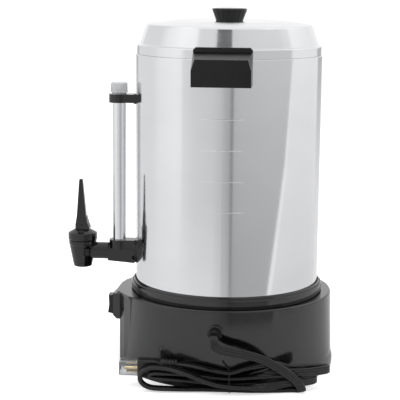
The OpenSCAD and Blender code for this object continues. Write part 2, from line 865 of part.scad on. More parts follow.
pump_r = pump_d / 2;
basket_r = basket_d / 2;
basket_top = rim_z - basket_drop;
basket_low = basket_top - basket_h;
pump_low = floor_z - well_deep + tank_wall + seat_gap;
pump_top = rim_z - 13.5;

module pump_stem() {
    foot = well_r - 4;
    wall = 1;
    support_z = basket_low - seat_gap - 1.2;
    color(alu)
    difference() {
        rotate_extrude() polygon([[pump_r - wall, pump_low + 16],
            [foot - 1, pump_low], [foot, pump_low], [foot, pump_low + 2],
            [pump_r, pump_low + 18], [pump_r, support_z - 4], [pump_r + 5.5, support_z],
            [pump_r + 5.5, support_z + 1.2], [pump_r, support_z + 1.2], [pump_r, pump_top],
            [pump_r - wall, pump_top]]);
        for (a = [0, 90]) rotate([0, 0, a]) translate([-30, -2.5, pump_low - 1]) cube([60, 5, 3]);
    }
}

basket_wall = 1;
tube_in = pump_r + 0.4;
module strainer_holes(z, h) {
    hole_r = 1.5;
    inner_n = round(strainer_n * 2 / 3);
    for (i = [0:strainer_n - 1]) rotate([0, 0, i * 360 / strainer_n])
        translate([basket_r - 22, 0, z]) cylinder(r = hole_r, h = h, $fn = 24);
    for (i = [0:inner_n - 1]) rotate([0, 0, i * 360 / inner_n])
        translate([basket_r / 2 - 4, 0, z]) cylinder(r = hole_r, h = h, $fn = 24);
}

module coffee_basket() {
    w = basket_wall;
    r = basket_r;
    color(alu)
    difference() {
        rotate_extrude() polygon([[tube_in, basket_low], [r - 8, basket_low],
            [r - 2, basket_low + 5], [r - 1, basket_top - 3], [r, basket_top - 2],
            [r, basket_top], [r - 2, basket_top], [r - 2 - w, basket_top - 2],
            [r - 2 - w, basket_low + 5 + w / 2], [r - 8 - w / 2, basket_low + w],
            [tube_in + w, basket_low + w], [tube_in + w, basket_top - 8],
            [tube_in, basket_top - 8]]);
        strainer_holes(basket_low - 1, 3);
    }
}

module basket_cover() {
    z = basket_top + seat_gap;
    w = basket_wall;
    r = basket_r + 2;
    color(alu)
    difference() {
        rotate_extrude() polygon([[tube_in, z], [r, z], [r + 2, z + 5], [r + 1, z + 5.4],
            [r - 0.6, z + w], [tube_in + w, z + w], [tube_in + w, z + 4], [tube_in, z + 4]]);
        strainer_holes(z - 1, 3);
    }
}

// ------------------------------------------------------------- collar, switch, lamp

module collar_ring() {
    z = floor_z;
    top = z + collar_h;
    r = collar_r;
    color(black)
    rotate_extrude() polygon([[collar_in, z], [r, z], [r, top - 5.5], [r - 0.8, top - 4],
        [r - 1.8, top - 3.4], [r - 2.2, top - 4.4], [r - 2.7, top - 4.4], [r - 3, top - 1.5],
        [r - 3.8, top - 0.4], [r - 4.8, top - 0.2], [collar_in, top - 1]]);
}

bezel_front = front_y + bezel_out;
bezel_deep = 14;
rocker_w = bezel_w - 6;
rocker_swing = 14.2;
rocker_y = bezel_front - 1.8;
rocker_z = bezel_z + bezel_h / 2 + 1.9;
trunnion_r = 1.5;
tab_end = -front_y + bezel_deep + 7;

module switch_bezel() {
    body_w = bezel_w - 4.4;
    color(black)
    difference() {
        union() {
            translate([bezel_x - bezel_w / 2, 0, 0]) rotate([90, 0, 90])
                linear_extrude(bezel_w) polygon([[-front_y, bezel_z],
                    [-bezel_front + 5.2, bezel_z], [-bezel_front, bezel_z + 5.2],
                    [-bezel_front, bezel_z + bezel_h - 0.8],
                    [-bezel_front + 0.8, bezel_z + bezel_h], [-front_y, bezel_z + bezel_h]]);
            translate([bezel_x - body_w / 2, -front_y - 1, bezel_z + 3.2])
                cube([body_w, bezel_deep + 1, bezel_h - 6.4]);
            for (up = [-1, 1])
                translate([bezel_x - 3, -front_y + bezel_deep - 1, rocker_z + up * 7 - 0.4])
                    cube([6, 8, 0.8]);
        }
        // well for the rocker
        translate([bezel_x - rocker_w / 2 - 0.3, -rocker_y - 20, rocker_z - rocker_swing - 0.2])
            cube([rocker_w + 0.6, 32, 2 * rocker_swing + 0.4]);
        translate([bezel_x - rocker_w / 2 - 2, -rocker_y, rocker_z]) rotate([0, 90, 0])
            cylinder(r = trunnion_r + run_gap, h = rocker_w + 4);
    }
}

module switch_rocker() {
    f = rocker_out + 1.8;
    c = rocker_swing;
    color("#232326")
    translate([bezel_x, -rocker_y, rocker_z]) {
        translate([-rocker_w / 2, 0, 0]) rotate([90, 0, 90]) linear_extrude(rocker_w)
            polygon(concat([[-f + 0.6, 13.2], [-f + 1, 12], [-f + 1.6, 0], [-f, -12], [-f + 0.4, -13]],
                arc(0, 0, c, -118, -62), [[7, -8], [7, 8]], arc(0, 0, c, 62, 118)));
        rotate([0, 90, 0]) cylinder(r = trunnion_r, h = rocker_w + 3.4, center = true);
    }
}

lens_r = lamp_r - 5;
module lamp_rim() {
    color(steel)
    translate([lamp_x, -front_y, lamp_z]) rotate([90, 0, 0]) difference() {
        union() {
            rotate_extrude() polygon([[0, 0], [lamp_r, 0], [lamp_r, 1.4],
                [lamp_r - 1, 3.4], [lamp_r - 2.6, 5.2], [lamp_r - 4.2, 6.2], [0, 6.2]]);
            translate([0, 0, -14]) cylinder(r = lamp_r - 6 - fit_gap, h = 15);
        }
        translate([0, 0, -8]) cylinder(r = lens_r - 3, h = 30);
        translate([0, 0, 1]) cylinder(r = lens_r, h = 30);
    }
}

module lamp_lens() {
    r = lens_r - 0.05;
    color("#e0902a")
    translate([lamp_x, -front_y, lamp_z]) rotate([90, 0, 0])
        rotate_extrude() polygon(concat([[0, 1], [r, 1]],
            arc(0, 5 - 8, sqrt(r * r + 64), atan2(8, r), 90)));
}

// --------------------------------------------------------------- cord and plug

// Sweep of a section along a route; each point has the direction of the section's face
function unit(v) = v / norm(v);
function along(route, i) =
    unit(route[min(i + 1, len(route) - 1)] - route[max(i - 1, 0)]);
function round_section(r, n) = [for (k = [0:n - 1]) [r * cos(360 * k / n), r * sin(360 * k / n)]];
function flat_section(w, t, round) = let (x = w / 2, y = t / 2)
    round ? [[x, 0.2 * t], [x - 0.3 * t, y], [0.3 * t - x, y], [-x, 0.2 * t],
        [-x, -0.2 * t], [0.3 * t - x, -y], [x - 0.3 * t, -y], [x, -0.2 * t]] :
    [[x, 0], [x - 0.35 * t, y], [0.35 * t - x, y], [-x, 0], [0.35 * t - x, -y], [x - 0.35 * t, -y]];

function swept(route, faces, shape) = [for (i = [0:len(route) - 1]) let (
        d = along(route, i),
        n = unit(faces[i] - (faces[i] * d) * d),
        s = cross(d, n))
    for (p = shape) route[i] + p[0] * s + p[1] * n];

module tube(route, faces, shape) {
    last = len(route) - 1;
    sides = len(shape);
    walls = [for (i = [0:last - 1], k = [0:sides - 1]) let (
            a = i * sides + k, b = i * sides + (k + 1) % sides)
        for (f = [[a, b, b + sides], [a, b + sides, a + sides]]) f];
    start = [for (k = [1:sides - 2]) [0, k + 1, k]];
    end = [for (k = [1:sides - 2]) [last * sides, last * sides + k, last * sides + k + 1]];
    polyhedron(points = swept(route, faces, shape), faces = concat(start, walls, end),
        convexity = 8);
}

gland_start = base_r - 14;
nose_x = base_r + 17;
module cord_gland() {
    flange_r = 10.3;
    nose = nose_x - gland_start;
    color("#161617")
    difference() {
        translate([gland_start, gland_y, gland_z]) rotate([0, 90, 0]) rotate_extrude()
            polygon([[0, 0], [gland_r, 0], [gland_r, 12.5], [flange_r, 12.5],
                [flange_r, 17.6], [flange_r - 1, 19], [8.4, 19.6], [6.9, nose], [0, nose]]);
        // seat of the flange on the base's round wall
        difference() {
            intersection() {
                base_outside();
                translate([0, gland_y - 20, gland_z - 20]) cube([200, 40, 40]);
            }
            translate([0, gland_y, gland_z]) rotate([0, 90, 0]) cylinder(r = gland_r, h = 300);
        }
    }
}

// Route of the cord from the gland to the fold at its right: [point, face direction]
cord_route = [
    [[166.6, -5, 79.5], [0, 0, 1]], [[173, -5, 79.4], [0, 0, 1]],
    [[178.5, -4.9, 78], [0.4, 0, 1]], [[182, -4.2, 73.8], [1, 0, 0.4]],
    [[182.6, -1.8, 68.8], [1, 0, 0.1]], [[181.5, 5, 64.8], [1, 0.1, 0]],
    [[179, 18, 61], [1, 0.15, 0]], [[176, 34, 58], [1, 0.2, 0]], [[172, 54, 52], [1, 0.3, 0]],
    [[168, 74, 42], [1, 0.35, 0]], [[164, 92, 30], [1, 0.35, 0]], [[161, 104, 20], [1, 0.3, 0]],
    [[158.3, 110.5, 10.5], [1, 0.2, -0.5]], [[154.5, 112.5, 5], [0.4, 0.2, -1]],
    [[150.5, 109.5, 3.4], [0, 0, -1]], [[149, 106, 3.3], [0, 0, -1]],
    [[149, 103, 3.3], [0, 0, -1]]];

// The hank: five runs between folds. Height of each run where the tie holds it
tie_y = 16;
tie_x = 160;
tie_heights = [4, 12, 11.4, 18.8, 26.8];
// Left folds stand upright, one inside the other: [lower height, upper height, start, reach]
left_x = 169;
left_folds = [[5.6, 33.6, -84, 20], [19.2, 26.4, -80, 12]];
// Right folds lie open on each other: [centre, height, half width, reach]
right_folds = [[[137, 104], 13.2, 10.5, 28], [[140.5, 112], 27.5, 8.4, 38]];
right_way = unit([-0.37, 0.93, 0]);
right_side = [right_way[1], -right_way[0], 0];
fold_steps = 8;

function left_fold(f) = [for (i = [0:fold_steps]) let (
        a = 180 * i / fold_steps,
        half = (f[1] - f[0]) / 2)
    [[left_x, f[2] - f[3] * sin(a), f[0] + half - half * cos(a)], [0, -sin(a), -cos(a)]]];

function right_fold(f) = [for (i = [0:fold_steps]) let (a = 180 * i / fold_steps)
    [[f[0][0], f[0][1], f[1]] + f[2] * cos(a) * right_side + f[3] * sin(a) * right_way,
        cos(a) * right_side + sin(a) * right_way]];

// Runs between the folds, each from its start to the next fold
run_b = [[[149, 102.9, 3.3], [0, 0, -1]], [[149, 99.5, 3.3], [0, 0, -1]],
    [[153.5, 75, 3.3], [0, 0, -1]], [[158, 45, 3.5], [0, 0, -1]],
    [[tie_x, tie_y, tie_heights[0]], [0, 0, -1]],
    [[162, -20, 4.2], [0, 0, -1]], [[166, -50, 4.6], [0, 0, -1]]];
run_c = [[[171, -66, 33.4], [0, 0, 1]], [[178, -45, 30.5], [0, 0, 1]],
    [[179, -26, 24.5], [0.1, 0, 1]], [[176.5, -6, 16.5], [0.1, 0, 1]],
    [[172.9, tie_y, tie_heights[1]], [0, 0, 1]], [[169.5, 42, 11], [0.2, 0, 1]],
    [[161.5, 68, 10.5], [0.8, 0.2, 0.6]], [[153.5, 90, 13], [0.93, 0.37, 0.1]]];
run_d = [[[137, 82, 12.6], [-0.8, -0.3, -0.4]], [[147.5, 64, 12], [-0.4, -0.2, -0.9]],
    [[152.5, 50, 11.6], [0, 0, -1]], [[157.2, 34, 11.4], [0, 0, -1]],
    [[tie_x, tie_y, tie_heights[2]], [0, 0, -1]], [[162, -20, 13.6], [0, 0, -1]],
    [[166, -50, 17.4], [0, 0, -1]]];
run_e = [[[166, -50, 25.2], [0, 0, 1]], [[162, -20, 21.6], [0, 0, 1]],
    [[tie_x, tie_y, tie_heights[3]], [0, 0, 1]], [[158, 42, 21], [0.2, 0, 1]],
    [[155.5, 68, 25], [0.7, 0.1, 0.7]], [[153, 92, 27.4], [0.93, 0.3, 0.2]]];
run_f = [[[139.6, 93, 29.5], [-0.93, -0.37, -0.2]], [[144, 74, 36.5], [-0.4, 0, -0.9]],
    [[152, 56, 36], [-0.2, 0, -1]], [[157, 36, 32.5], [0, 0, -1]],
    [[tie_x, tie_y, tie_heights[4]], [0, 0, -1]], [[161.5, -6, 30], [0, 0, -1]],
    [[160, -24, 33], [0, 0, -1]], [[155.5, -38, 33.8], [0, 0, -1]],
    [[150.5, -48, 33.3], [0, 0, -1]], [[148, -53, 33], [0, 0, -1]],
    [[148, -55.9, 33], [0, 0, -1]]];

hank = concat(run_b, left_fold(left_folds[0]), run_c, right_fold(right_folds[0]), run_d,
    left_fold(left_folds[1]), run_e, right_fold(right_folds[1]), run_f);
hank_route = [for (p = hank) p[0]];
hank_faces = [for (p = hank) p[1]];

module power_cord() {
    color("#262628")
    tube([for (p = cord_route) p[0]], [for (p = cord_route) p[1]],
        flat_section(cord_w, cord_t, true));
}

module cord_hank() {
    shape = flat_section(cord_w, cord_t, false);
    sides = len(shape);
    points = swept(hank_route, hank_faces, shape);
    // least gap between points of stretches that don't follow each other
    echo(least_gap_of_hank = min([for (i = [0:len(points) - 1],
            j = [(floor(i / sides) + 5) * sides:1:len(points) - 1]) norm(points[i] - points[j])]));
    color("#262628") tube(hank_route, hank_faces, shape);
}

// Outline of the tie round the hank's runs, moved out by d
function tie_line(d) = [[tie_x - 5.9 - d, 1.3 - d], [tie_x + 6.3 + 0.4 * d, 1.3 - d],
    [178.8 + d, 9 - 0.4 * d], [178.8 + d, 15.2 + 0.4 * d],
    [tie_x + 6.3 + 0.4 * d, 29.5 + d], [tie_x - 5.9 - d, 29.5 + d]];
module cord_tie() {
    color("#101011") {
        translate([0, tie_y + 2, 0]) rotate([90, 0, 0]) linear_extrude(4) difference() {
            polygon(tie_line(0.8));
            polygon(tie_line(0));
        }
        // its twisted ends
        translate([tie_x - 4, tie_y - 1.2, 29.9]) rotate([42, -6, 0]) cylinder(r = 0.8, h = 17);
    }
}

plug_x = 147;
plug_z = 27;
plug_back = -76;
plug_face = -109;
plug_h = 24;
plug_w = 18;
relief_x = 148;
relief_z = 33;
blade_t = 1.5;
blade_up = 6.35;

module plug_body() {
    h = plug_h / 2;
    w = plug_w / 2;
    round_r = 3;
    color("#1d1d1f")
    difference() {
        union() {
            hull() {
                for (x = [round_r - w, w - round_r], z = [round_r - h, h - round_r])
                    translate([plug_x + x, plug_back - 8, plug_z + z]) rotate([90, 0, 0])
                        cylinder(r = round_r, h = plug_back - 8 - plug_face, $fn = 24);
                for (x = [4.5 - w, w - 4.5])
                    translate([plug_x + x, plug_back, relief_z - 1]) rotate([90, 0, 0])
                        cylinder(r = 4.4, h = 2, $fn = 24);
            }
            // ribbed strain relief
            translate([relief_x, plug_back - 2, relief_z]) rotate([-90, 0, 0]) rotate_extrude()
                polygon(concat([[0, 0], [7.2, 0], [7.2, 2.5]],
                    [for (i = [0:3]) let (r = 7.2 - 0.15 * i, z = 3 + i * 4)
                        for (p = [[r, z], [r, z + 2.2], [r - 1.1, z + 2.4], [r - 1.1, z + 3.6]]) p],
                    [[6.4, 19.4], [6.4, 22], [0, 22]]));
        }
        // grip hollows at both sides
        for (side = [-1, 1])
            translate([plug_x + side * (w + 5.4), (plug_back + plug_face) / 2 - 3, plug_z - 4])
                rotate([90, 0, 0]) cylinder(r = 6.4, h = 13, center = true);
    }
}

module plug_blades() {
    color("#c9a85c") {
        for (side = [-1, 1])
            translate([plug_x - 5.6, plug_face - 16, plug_z + side * blade_up - blade_t / 2])
                cube([6.3, 16, blade_t]);
        front_rod(plug_x + 3.6, plug_face, plug_z, 2.4, 18);
    }
}

cover_len = 25;
// Rounded box of the cover, half sizes w and h
module cover_form(w, h, length) {
    r = 3;
    linear_extrude(length) {
        for (x = [r - w, w - r], y = [r - h, h - r]) translate([x, y]) circle(r = r);
        translate([r - w, -h]) square([2 * w - 2 * r, 2 * h]);
        translate([-w, r - h]) square([2 * w, 2 * h - 2 * r]);
    }
}

module plug_cover() {
    h = plug_h / 2 - 1.6;
    w = plug_w / 2 - 1;
    wall = 1.2;
    color("#e6eaee", 0.4)
    difference() {
        translate([plug_x, plug_face, plug_z]) rotate([90, 0, 0]) cover_form(w, h, cover_len);
        translate([plug_x, plug_face + 1, plug_z]) rotate([90, 0, 0])
            cover_form(w - wall, h - wall, cover_len + 1 - wall);
    }
}

// Wires inside the base: each a short route of points
wires = [
    [[91, -18, 12], [91, -18, 34], [80, -60, 56], [48, -104, 70], [31, -122, 81.2], [31, -128, 81.2]],
    [[91, 8, 12], [91, 10, 34], [64, 36, 50], [30, 58, 54], [14, 61, 58], [12.9, 60.6, 68.4]],
    [[31, -128, 95.2], [31, -122, 94.6], [24, -92, 86], [12, -62, 82], [5, -38, 86], [5, -36, 94.4]],
    [[-5, -36, 94.4], [-6, -34, 88], [-22, -30, 86], [-38, -26, 94], [-42, -18, 104], [-42, -12.1, 108]],
    [[-42, 12.1, 108], [-42, 18, 102], [-36, 38, 84], [-24, 54, 64], [-14, 61, 58], [-12.9, 60.6, 68.4]]];
module lead_wires() {
    color("#b3382c")
    for (w = wires) tube(w, [for (p = w) [1, 0.3, 0.2]], round_section(1.3, 6));
}

tank();
collar_ring();
base_shell();
bottom_plate();
bottom_screws();
tank_clips();
clip_nuts();
heating_element();
element_clamps();
thermostat();
thermal_fuse();
terminal_block();
lead_wires();
handle_right();
handle_left();
handle_screws();
lid();
lid_knob();
knob_screw();
gauge_bracket();
bracket_screw();
gauge_shield();
gauge_glass();
gauge_seals();
gauge_cap();
spigot_block();
spigot_gaskets();
spigot_nut();
faucet_body();
faucet_bonnet();
faucet_lever();
lever_pin();
valve_stem();
valve_cup();
valve_spring();
pump_stem();
coffee_basket();
basket_cover();
switch_bezel();
switch_rocker();
lamp_rim();
lamp_lens();
cord_gland();
power_cord();
cord_hank();
cord_tie();
plug_body();
plug_blades();
plug_cover();
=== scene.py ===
# Looks of a percolating coffee urn, laid out as an add-on and run as a script.
# Metres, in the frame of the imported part: +Z up, the faucet towards -Y.

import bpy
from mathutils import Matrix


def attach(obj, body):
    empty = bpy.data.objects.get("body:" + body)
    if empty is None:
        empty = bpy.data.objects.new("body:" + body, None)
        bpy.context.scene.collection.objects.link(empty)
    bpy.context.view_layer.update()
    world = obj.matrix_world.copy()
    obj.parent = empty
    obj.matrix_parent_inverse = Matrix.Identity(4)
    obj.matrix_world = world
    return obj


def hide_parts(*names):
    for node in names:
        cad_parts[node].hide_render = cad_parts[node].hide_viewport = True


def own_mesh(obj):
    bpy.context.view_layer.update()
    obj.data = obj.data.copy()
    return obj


bl_info = {
    "name": "Coffee urn dressing",
    "version": (1, 0, 0),
    "blender": (4, 5, 0),
    "location": "View3D > Sidebar > Urn",
    "description": "Finishes, cord, fasteners and studio of a percolating coffee urn",
    "category": "Object",
}

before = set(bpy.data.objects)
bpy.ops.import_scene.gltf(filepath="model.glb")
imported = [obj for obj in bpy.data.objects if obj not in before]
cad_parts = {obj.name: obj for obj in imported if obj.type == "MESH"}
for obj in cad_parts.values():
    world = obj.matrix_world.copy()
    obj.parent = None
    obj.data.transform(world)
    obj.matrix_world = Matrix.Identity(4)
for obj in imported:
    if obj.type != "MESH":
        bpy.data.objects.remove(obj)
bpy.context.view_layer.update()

import math

import bmesh
import bpy
import numpy as np
from mathutils import Matrix, Vector

MM = 0.001


def linear(code):
    """Linear colour of an sRGB hex code."""
    parts = [int(code[i : i + 2], 16) / 255 for i in (1, 3, 5)]
    return tuple(c / 12.92 if c <= 0.04045 else ((c + 0.055) / 1.055) ** 2.4 for c in parts)


def colour(name, words, code):
    return bpy.props.FloatVectorProperty(
        name=name, description=words, subtype="COLOR", size=3, min=0, max=1, default=linear(code)
    )


def length(name, words, size_mm, low, high):
    return bpy.props.FloatProperty(
        name=name, description=words, unit="LENGTH",
        default=size_mm * MM, min=low * MM, max=high * MM,
    )


class UrnSizes(bpy.types.PropertyGroup):
    cord_width: length("Cord width", "Width declared for the flat cord", 12, 8, 14)
    lobe: length("Cord lobe", "Radius of each of the cord's three lobes", 2.8, 2, 3.4)
    lobe_gap: length("Lobe spacing", "Distance between the lobes' centres", 3.2, 2.4, 4)
    lead_wire: length("Lead", "Diameter of a lead in the base", 2.6, 1.6, 3.4)
    spring_wire: length("Spring wire", "Diameter of the valve spring's wire", 1.2, 0.8, 1.6)
    screw_head: length("Screw head", "Diameter of a pan head", 7.8, 6, 9)
    mark_proud: length("Level mark", "How far a level mark stands out of the tank", 0.18, 0.1, 0.6)
    rim_wire: length("Hole rim", "Thickness of the roll round a hole", 0.5, 0.2, 0.8)


class UrnColours(bpy.types.PropertyGroup):
    tank: colour("Tank", "Buffed aluminium of the tank and the lid", "#e6e7e9")
    inner: colour("Inner parts", "Mill-finish aluminium of the pump and the basket", "#cfd1d4")
    moulding: colour("Moulding", "Black phenolic of the base and the faucet", "#0b0b0c")
    grip: colour("Grip", "Black of the handles and the knob", "#101012")
    cord: colour("Cord", "Black jacket of the cord", "#0c0c0e")
    steel: colour("Steel", "Zinc-plated steel of the fasteners", "#b9bcc0")
    brass: colour("Brass", "Brass of the plug's blades", "#dcc79c")
    amber: colour("Lamp", "Amber lens of the lamp", "#f0921e")
    lead: colour("Leads", "Silicone jacket of the leads", "#a5281c")
    ceramic: colour("Ceramic", "Steatite of the terminals and the thermostat", "#e4dcc8")


# ------------------------------------------------------------------- materials


def add(tree, kind, settings=(), links=()):
    """Adds a node, sets its fields or input values, and links its inputs."""
    node = tree.nodes.new(kind)
    for key, value in dict(settings).items():
        if isinstance(key, str) and hasattr(node, key):
            setattr(node, key, value)
        else:
            node.inputs[key].default_value = value
    for key, source in dict(links).items():
        tree.links.new(source, node.inputs[key])
    return node


def new_material(name):
    material = bpy.data.materials.new(name)
    material.use_nodes = True
    material.node_tree.nodes.clear()
    return material, material.node_tree


def surface(tree, rgb, metallic, links=(), **sockets):
    settings = {"Base Color": (*rgb, 1), "Metallic": metallic}
    settings.update({key.replace("_", " "): value for key, value in sockets.items()})
    for key in links:
        settings.pop(key, None)
    shader = add(tree, "ShaderNodeBsdfPrincipled", settings, links)
    add(tree, "ShaderNodeOutputMaterial", (), {"Surface": shader.outputs[0]})


def noise(tree, scale, stretch=(1, 1, 1), detail=3, rough=0.5):
    """Noise on Object coordinates; scale is in cycles per metre."""
    place = add(tree, "ShaderNodeTexCoord")
    mapping = add(tree, "ShaderNodeMapping", {"Scale": stretch}, {"Vector": place.outputs["Object"]})
    return add(
        tree, "ShaderNodeTexNoise", {"Scale": scale, "Detail": detail, "Roughness": rough},
        {"Vector": mapping.outputs[0]},
    ).outputs["Fac"]


def ranged(tree, value, low, high, start=0.3, end=0.7):
    return add(
        tree, "ShaderNodeMapRange",
        {"From Min": start, "From Max": end, "To Min": low, "To Max": high}, {"Value": value},
    ).outputs[0]


def bump(tree, height, distance, strength=1.0, below=None):
    links = {"Height": height}
    if below:
        links["Normal"] = below
    return add(
        tree, "ShaderNodeBump", {"Distance": distance, "Strength": strength}, links
    ).outputs[0]


def shaded(tree, value, rgb, dark=0.86):
    """The colour with slow variation, darkest at dark times its value."""
    ramp = add(tree, "ShaderNodeValToRGB", (), {"Fac": value})
    ramp.color_ramp.elements[0].position = 0.32
    ramp.color_ramp.elements[1].position = 0.62
    ramp.color_ramp.elements[0].color = (*[c * dark for c in rgb], 1)
    ramp.color_ramp.elements[1].color = (*rgb, 1)
    return ramp.outputs[0]


def buffed_aluminium(name, rgb, rough):
    """Spun aluminium, buffed on the lathe: fine lines run round it and slow waves bend what
    it mirrors. The lines are drawn about 1 mm apart, coarser than the real ones."""
    material, tree = new_material(name)
    lines = noise(tree, 1, (5, 5, 900), 4, 0.65)
    waves = noise(tree, 14, (1, 1, 0.3), 1)
    normal = bump(tree, lines, 0.00001, 0.15, bump(tree, waves, 0.0003, 0.1))
    surface(
        tree, rgb, 1,
        {"Roughness": ranged(tree, lines, rough - 0.03, rough + 0.04), "Normal": normal,
            "Base Color": shaded(tree, noise(tree, 9, (1, 1, 2)), rgb, 0.965)},
    )
    return material


def pressed_aluminium(name, rgb):
    """Mill-finish sheet, drawn and lightly scuffed: satin, with faint cloudy wear."""
    material, tree = new_material(name)
    scuffs = noise(tree, 60, (1, 1, 6), 6, 0.7)
    surface(
        tree, rgb, 1,
        {"Roughness": ranged(tree, scuffs, 0.24, 0.42), "Normal": bump(tree, scuffs, 0.00005, 0.3),
            "Base Color": shaded(tree, noise(tree, 25), rgb, 0.88)},
    )
    return material


def moulded_phenolic(name, rgb, rough, grit=420, depth=0.00002, ior=1.54):
    """Compression-moulded phenolic: glossy black with a faint orange peel and dust-fine
    variation in its gloss."""
    material, tree = new_material(name)
    peel = noise(tree, grit, (1, 1, 1), 2)
    slow = noise(tree, 18, (1, 1, 1), 3)
    surface(
        tree, rgb, 0,
        {"Roughness": ranged(tree, slow, rough - 0.04, rough + 0.06),
            "Normal": bump(tree, peel, depth, 0.4), "Base Color": shaded(tree, slow, rgb, 0.75)},
        IOR=ior,
    )
    return material


def soft_jacket(name, rgb, rough=0.42):
    """Extruded PVC or silicone: satin, with a fine pebble from the die."""
    material, tree = new_material(name)
    pebble = noise(tree, 1600, (1, 1, 1), 2)
    surface(
        tree, rgb, 0,
        {"Roughness": ranged(tree, noise(tree, 120), rough - 0.06, rough + 0.1),
            "Normal": bump(tree, pebble, 0.00003, 0.35),
            "Base Color": shaded(tree, noise(tree, 40), rgb, 0.7)},
        IOR=1.52,
    )
    return material


def plated_metal(name, rgb, rough, grain=(1, 1, 1), scale=700, worn=0.85):
    """Plated or drawn metal: bright, with a light directional grain."""
    material, tree = new_material(name)
    lines = noise(tree, scale, grain, 4, 0.6)
    surface(
        tree, rgb, 1,
        {"Roughness": ranged(tree, lines, rough - 0.05, rough + 0.1),
            "Normal": bump(tree, lines, 0.00001, 0.4),
            "Base Color": shaded(tree, noise(tree, 90), rgb, worn)},
    )
    return material


def glazed_ceramic(name, rgb):
    """Dry-pressed steatite: matt cream with fine pores."""
    material, tree = new_material(name)
    pores = noise(tree, 900, (1, 1, 1), 5, 0.7)
    surface(
        tree, rgb, 0,
        {"Roughness": ranged(tree, pores, 0.45, 0.65), "Normal": bump(tree, pores, 0.00005, 0.5),
            "Base Color": shaded(tree, noise(tree, 200), rgb, 0.9)},
    )
    return material


def clear_moulding(name, rgb, rough, ior, weight=1.0):
    """Clear moulded resin or glass: bright edges and a little haze."""
    material, tree = new_material(name)
    haze = noise(tree, 300, (1, 1, 1), 3)
    surface(
        tree, rgb, 0,
        {"Roughness": ranged(tree, haze, rough, rough + 0.05), "Normal": bump(tree, haze, 0.00002, 0.2)},
        Transmission_Weight=weight, IOR=ior,
    )
    return material


def make_materials():
    c = bpy.context.scene.urn_colours
    return {
        "tank": buffed_aluminium("buffed_aluminium", c.tank, 0.11),
        "lid": buffed_aluminium("buffed_lid_aluminium", c.tank, 0.12),
        "shield": plated_metal("drawn_aluminium_tube", c.tank, 0.09, (1, 1, 0.01), 900, 0.98),
        "inner": pressed_aluminium("mill_finish_aluminium", c.inner),
        "base": moulded_phenolic("moulded_phenolic", c.moulding, 0.13, ior=1.65),
        "faucet": moulded_phenolic("glossy_phenolic", c.moulding, 0.1, 600),
        "grip": moulded_phenolic("satin_phenolic", c.grip, 0.26, 900, 0.00003, 1.42),
        "cord": soft_jacket("pvc_jacket", c.cord, 0.2),
        "plug": soft_jacket("moulded_pvc", c.cord, 0.28),
        "lead": soft_jacket("silicone_jacket", c.lead, 0.5),
        "seal": soft_jacket("nitrile_rubber", linear("#202022"), 0.6),
        "silicone": soft_jacket("food_silicone", linear("#d8d4c8"), 0.5),
        "black_steel": plated_metal("black_oxide_steel", linear("#2a2a2c"), 0.3),
        "steel": plated_metal("zinc_plated_steel", c.steel, 0.28),
        "chrome": plated_metal("chrome_plate", linear("#e6e7ea"), 0.07, worn=0.97),
        "sheath": plated_metal("heater_sheath", linear("#8b857e"), 0.4),
        "brass": plated_metal("drawn_brass", c.brass, 0.2, (1, 0.05, 1)),
        "ceramic": glazed_ceramic("steatite", c.ceramic),
        "glass": clear_moulding("borosilicate_tube", linear("#f2f7f7"), 0.01, 1.47),
        "clear": clear_moulding("clear_styrene", linear("#f4f6f8"), 0.04, 1.5),
        "cap": clear_moulding("frosted_cap", linear("#eef0f2"), 0.12, 1.49, 0.55),
        "amber": clear_moulding("amber_acrylic", c.amber, 0.05, 1.49, 0.75),
    }


MATERIALS = {}
NODE_FINISH = {
    "tank": "tank", "lid": "lid", "gauge_shield": "shield", "collar_ring": "base",
    "base_shell": "base", "bottom_plate": "steel", "bottom_screws": "steel",
    "tank_clips": "steel", "clip_nuts": "steel", "heating_element": "sheath",
    "element_clamps": "steel", "thermostat": "ceramic", "thermal_fuse": "ceramic",
    "terminal_block": "ceramic", "lead_wires": "lead", "handle_right": "grip",
    "handle_left": "grip", "handle_screws": "steel", "lid_knob": "grip", "knob_screw": "steel",
    "gauge_bracket": "faucet", "bracket_screw": "steel", "gauge_glass": "glass",
    "gauge_seals": "seal", "gauge_cap": "cap", "spigot_block": "faucet",
    "spigot_gaskets": "seal", "spigot_nut": "steel", "faucet_body": "faucet",
    "faucet_bonnet": "faucet", "faucet_lever": "faucet", "lever_pin": "black_steel",
    "valve_stem": "steel", "valve_cup": "silicone", "valve_spring": "steel",
    "pump_stem": "inner", "coffee_basket": "inner", "basket_cover": "inner",
    "switch_bezel": "base", "switch_rocker": "grip", "lamp_rim": "chrome",
    "lamp_lens": "amber", "cord_gland": "plug", "power_cord": "cord", "cord_hank": "cord",
    "cord_tie": "cord", "plug_body": "plug", "plug_blades": "brass", "plug_cover": "clear",
}

# ------------------------------------------------------------- meshes and trees


def new_piece(name, mesh, finish, body="root", smooth=math.radians(35)):
    """A finished piece at the origin, riding on a body of the part."""
    piece = bpy.data.objects.new(name, mesh)
    bpy.context.scene.collection.objects.link(piece)
    mesh.materials.clear()
    mesh.materials.append(MATERIALS[finish])
    mesh.shade_smooth()
    mesh.set_sharp_from_angle(angle=smooth)
    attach(piece, body)
    return piece


def mesh_of(name, points, faces=(), edges=()):
    mesh = bpy.data.meshes.new(name)
    mesh.from_pydata([tuple(p) for p in points], [tuple(e) for e in edges], [tuple(f) for f in faces])
    mesh.update()
    return mesh


def swept(rings):
    """Points and faces of a closed tube through rings of equal length."""
    sides = len(rings[0])
    faces = []
    for i in range(len(rings) - 1):
        for k in range(sides):
            a, b = i * sides + k, i * sides + (k + 1) % sides
            faces.append((a, b, b + sides, a + sides))
    faces.append(tuple(range(sides - 1, -1, -1)))
    faces.append(tuple((len(rings) - 1) * sides + k for k in range(sides)))
    return [p for ring in rings for p in ring], faces


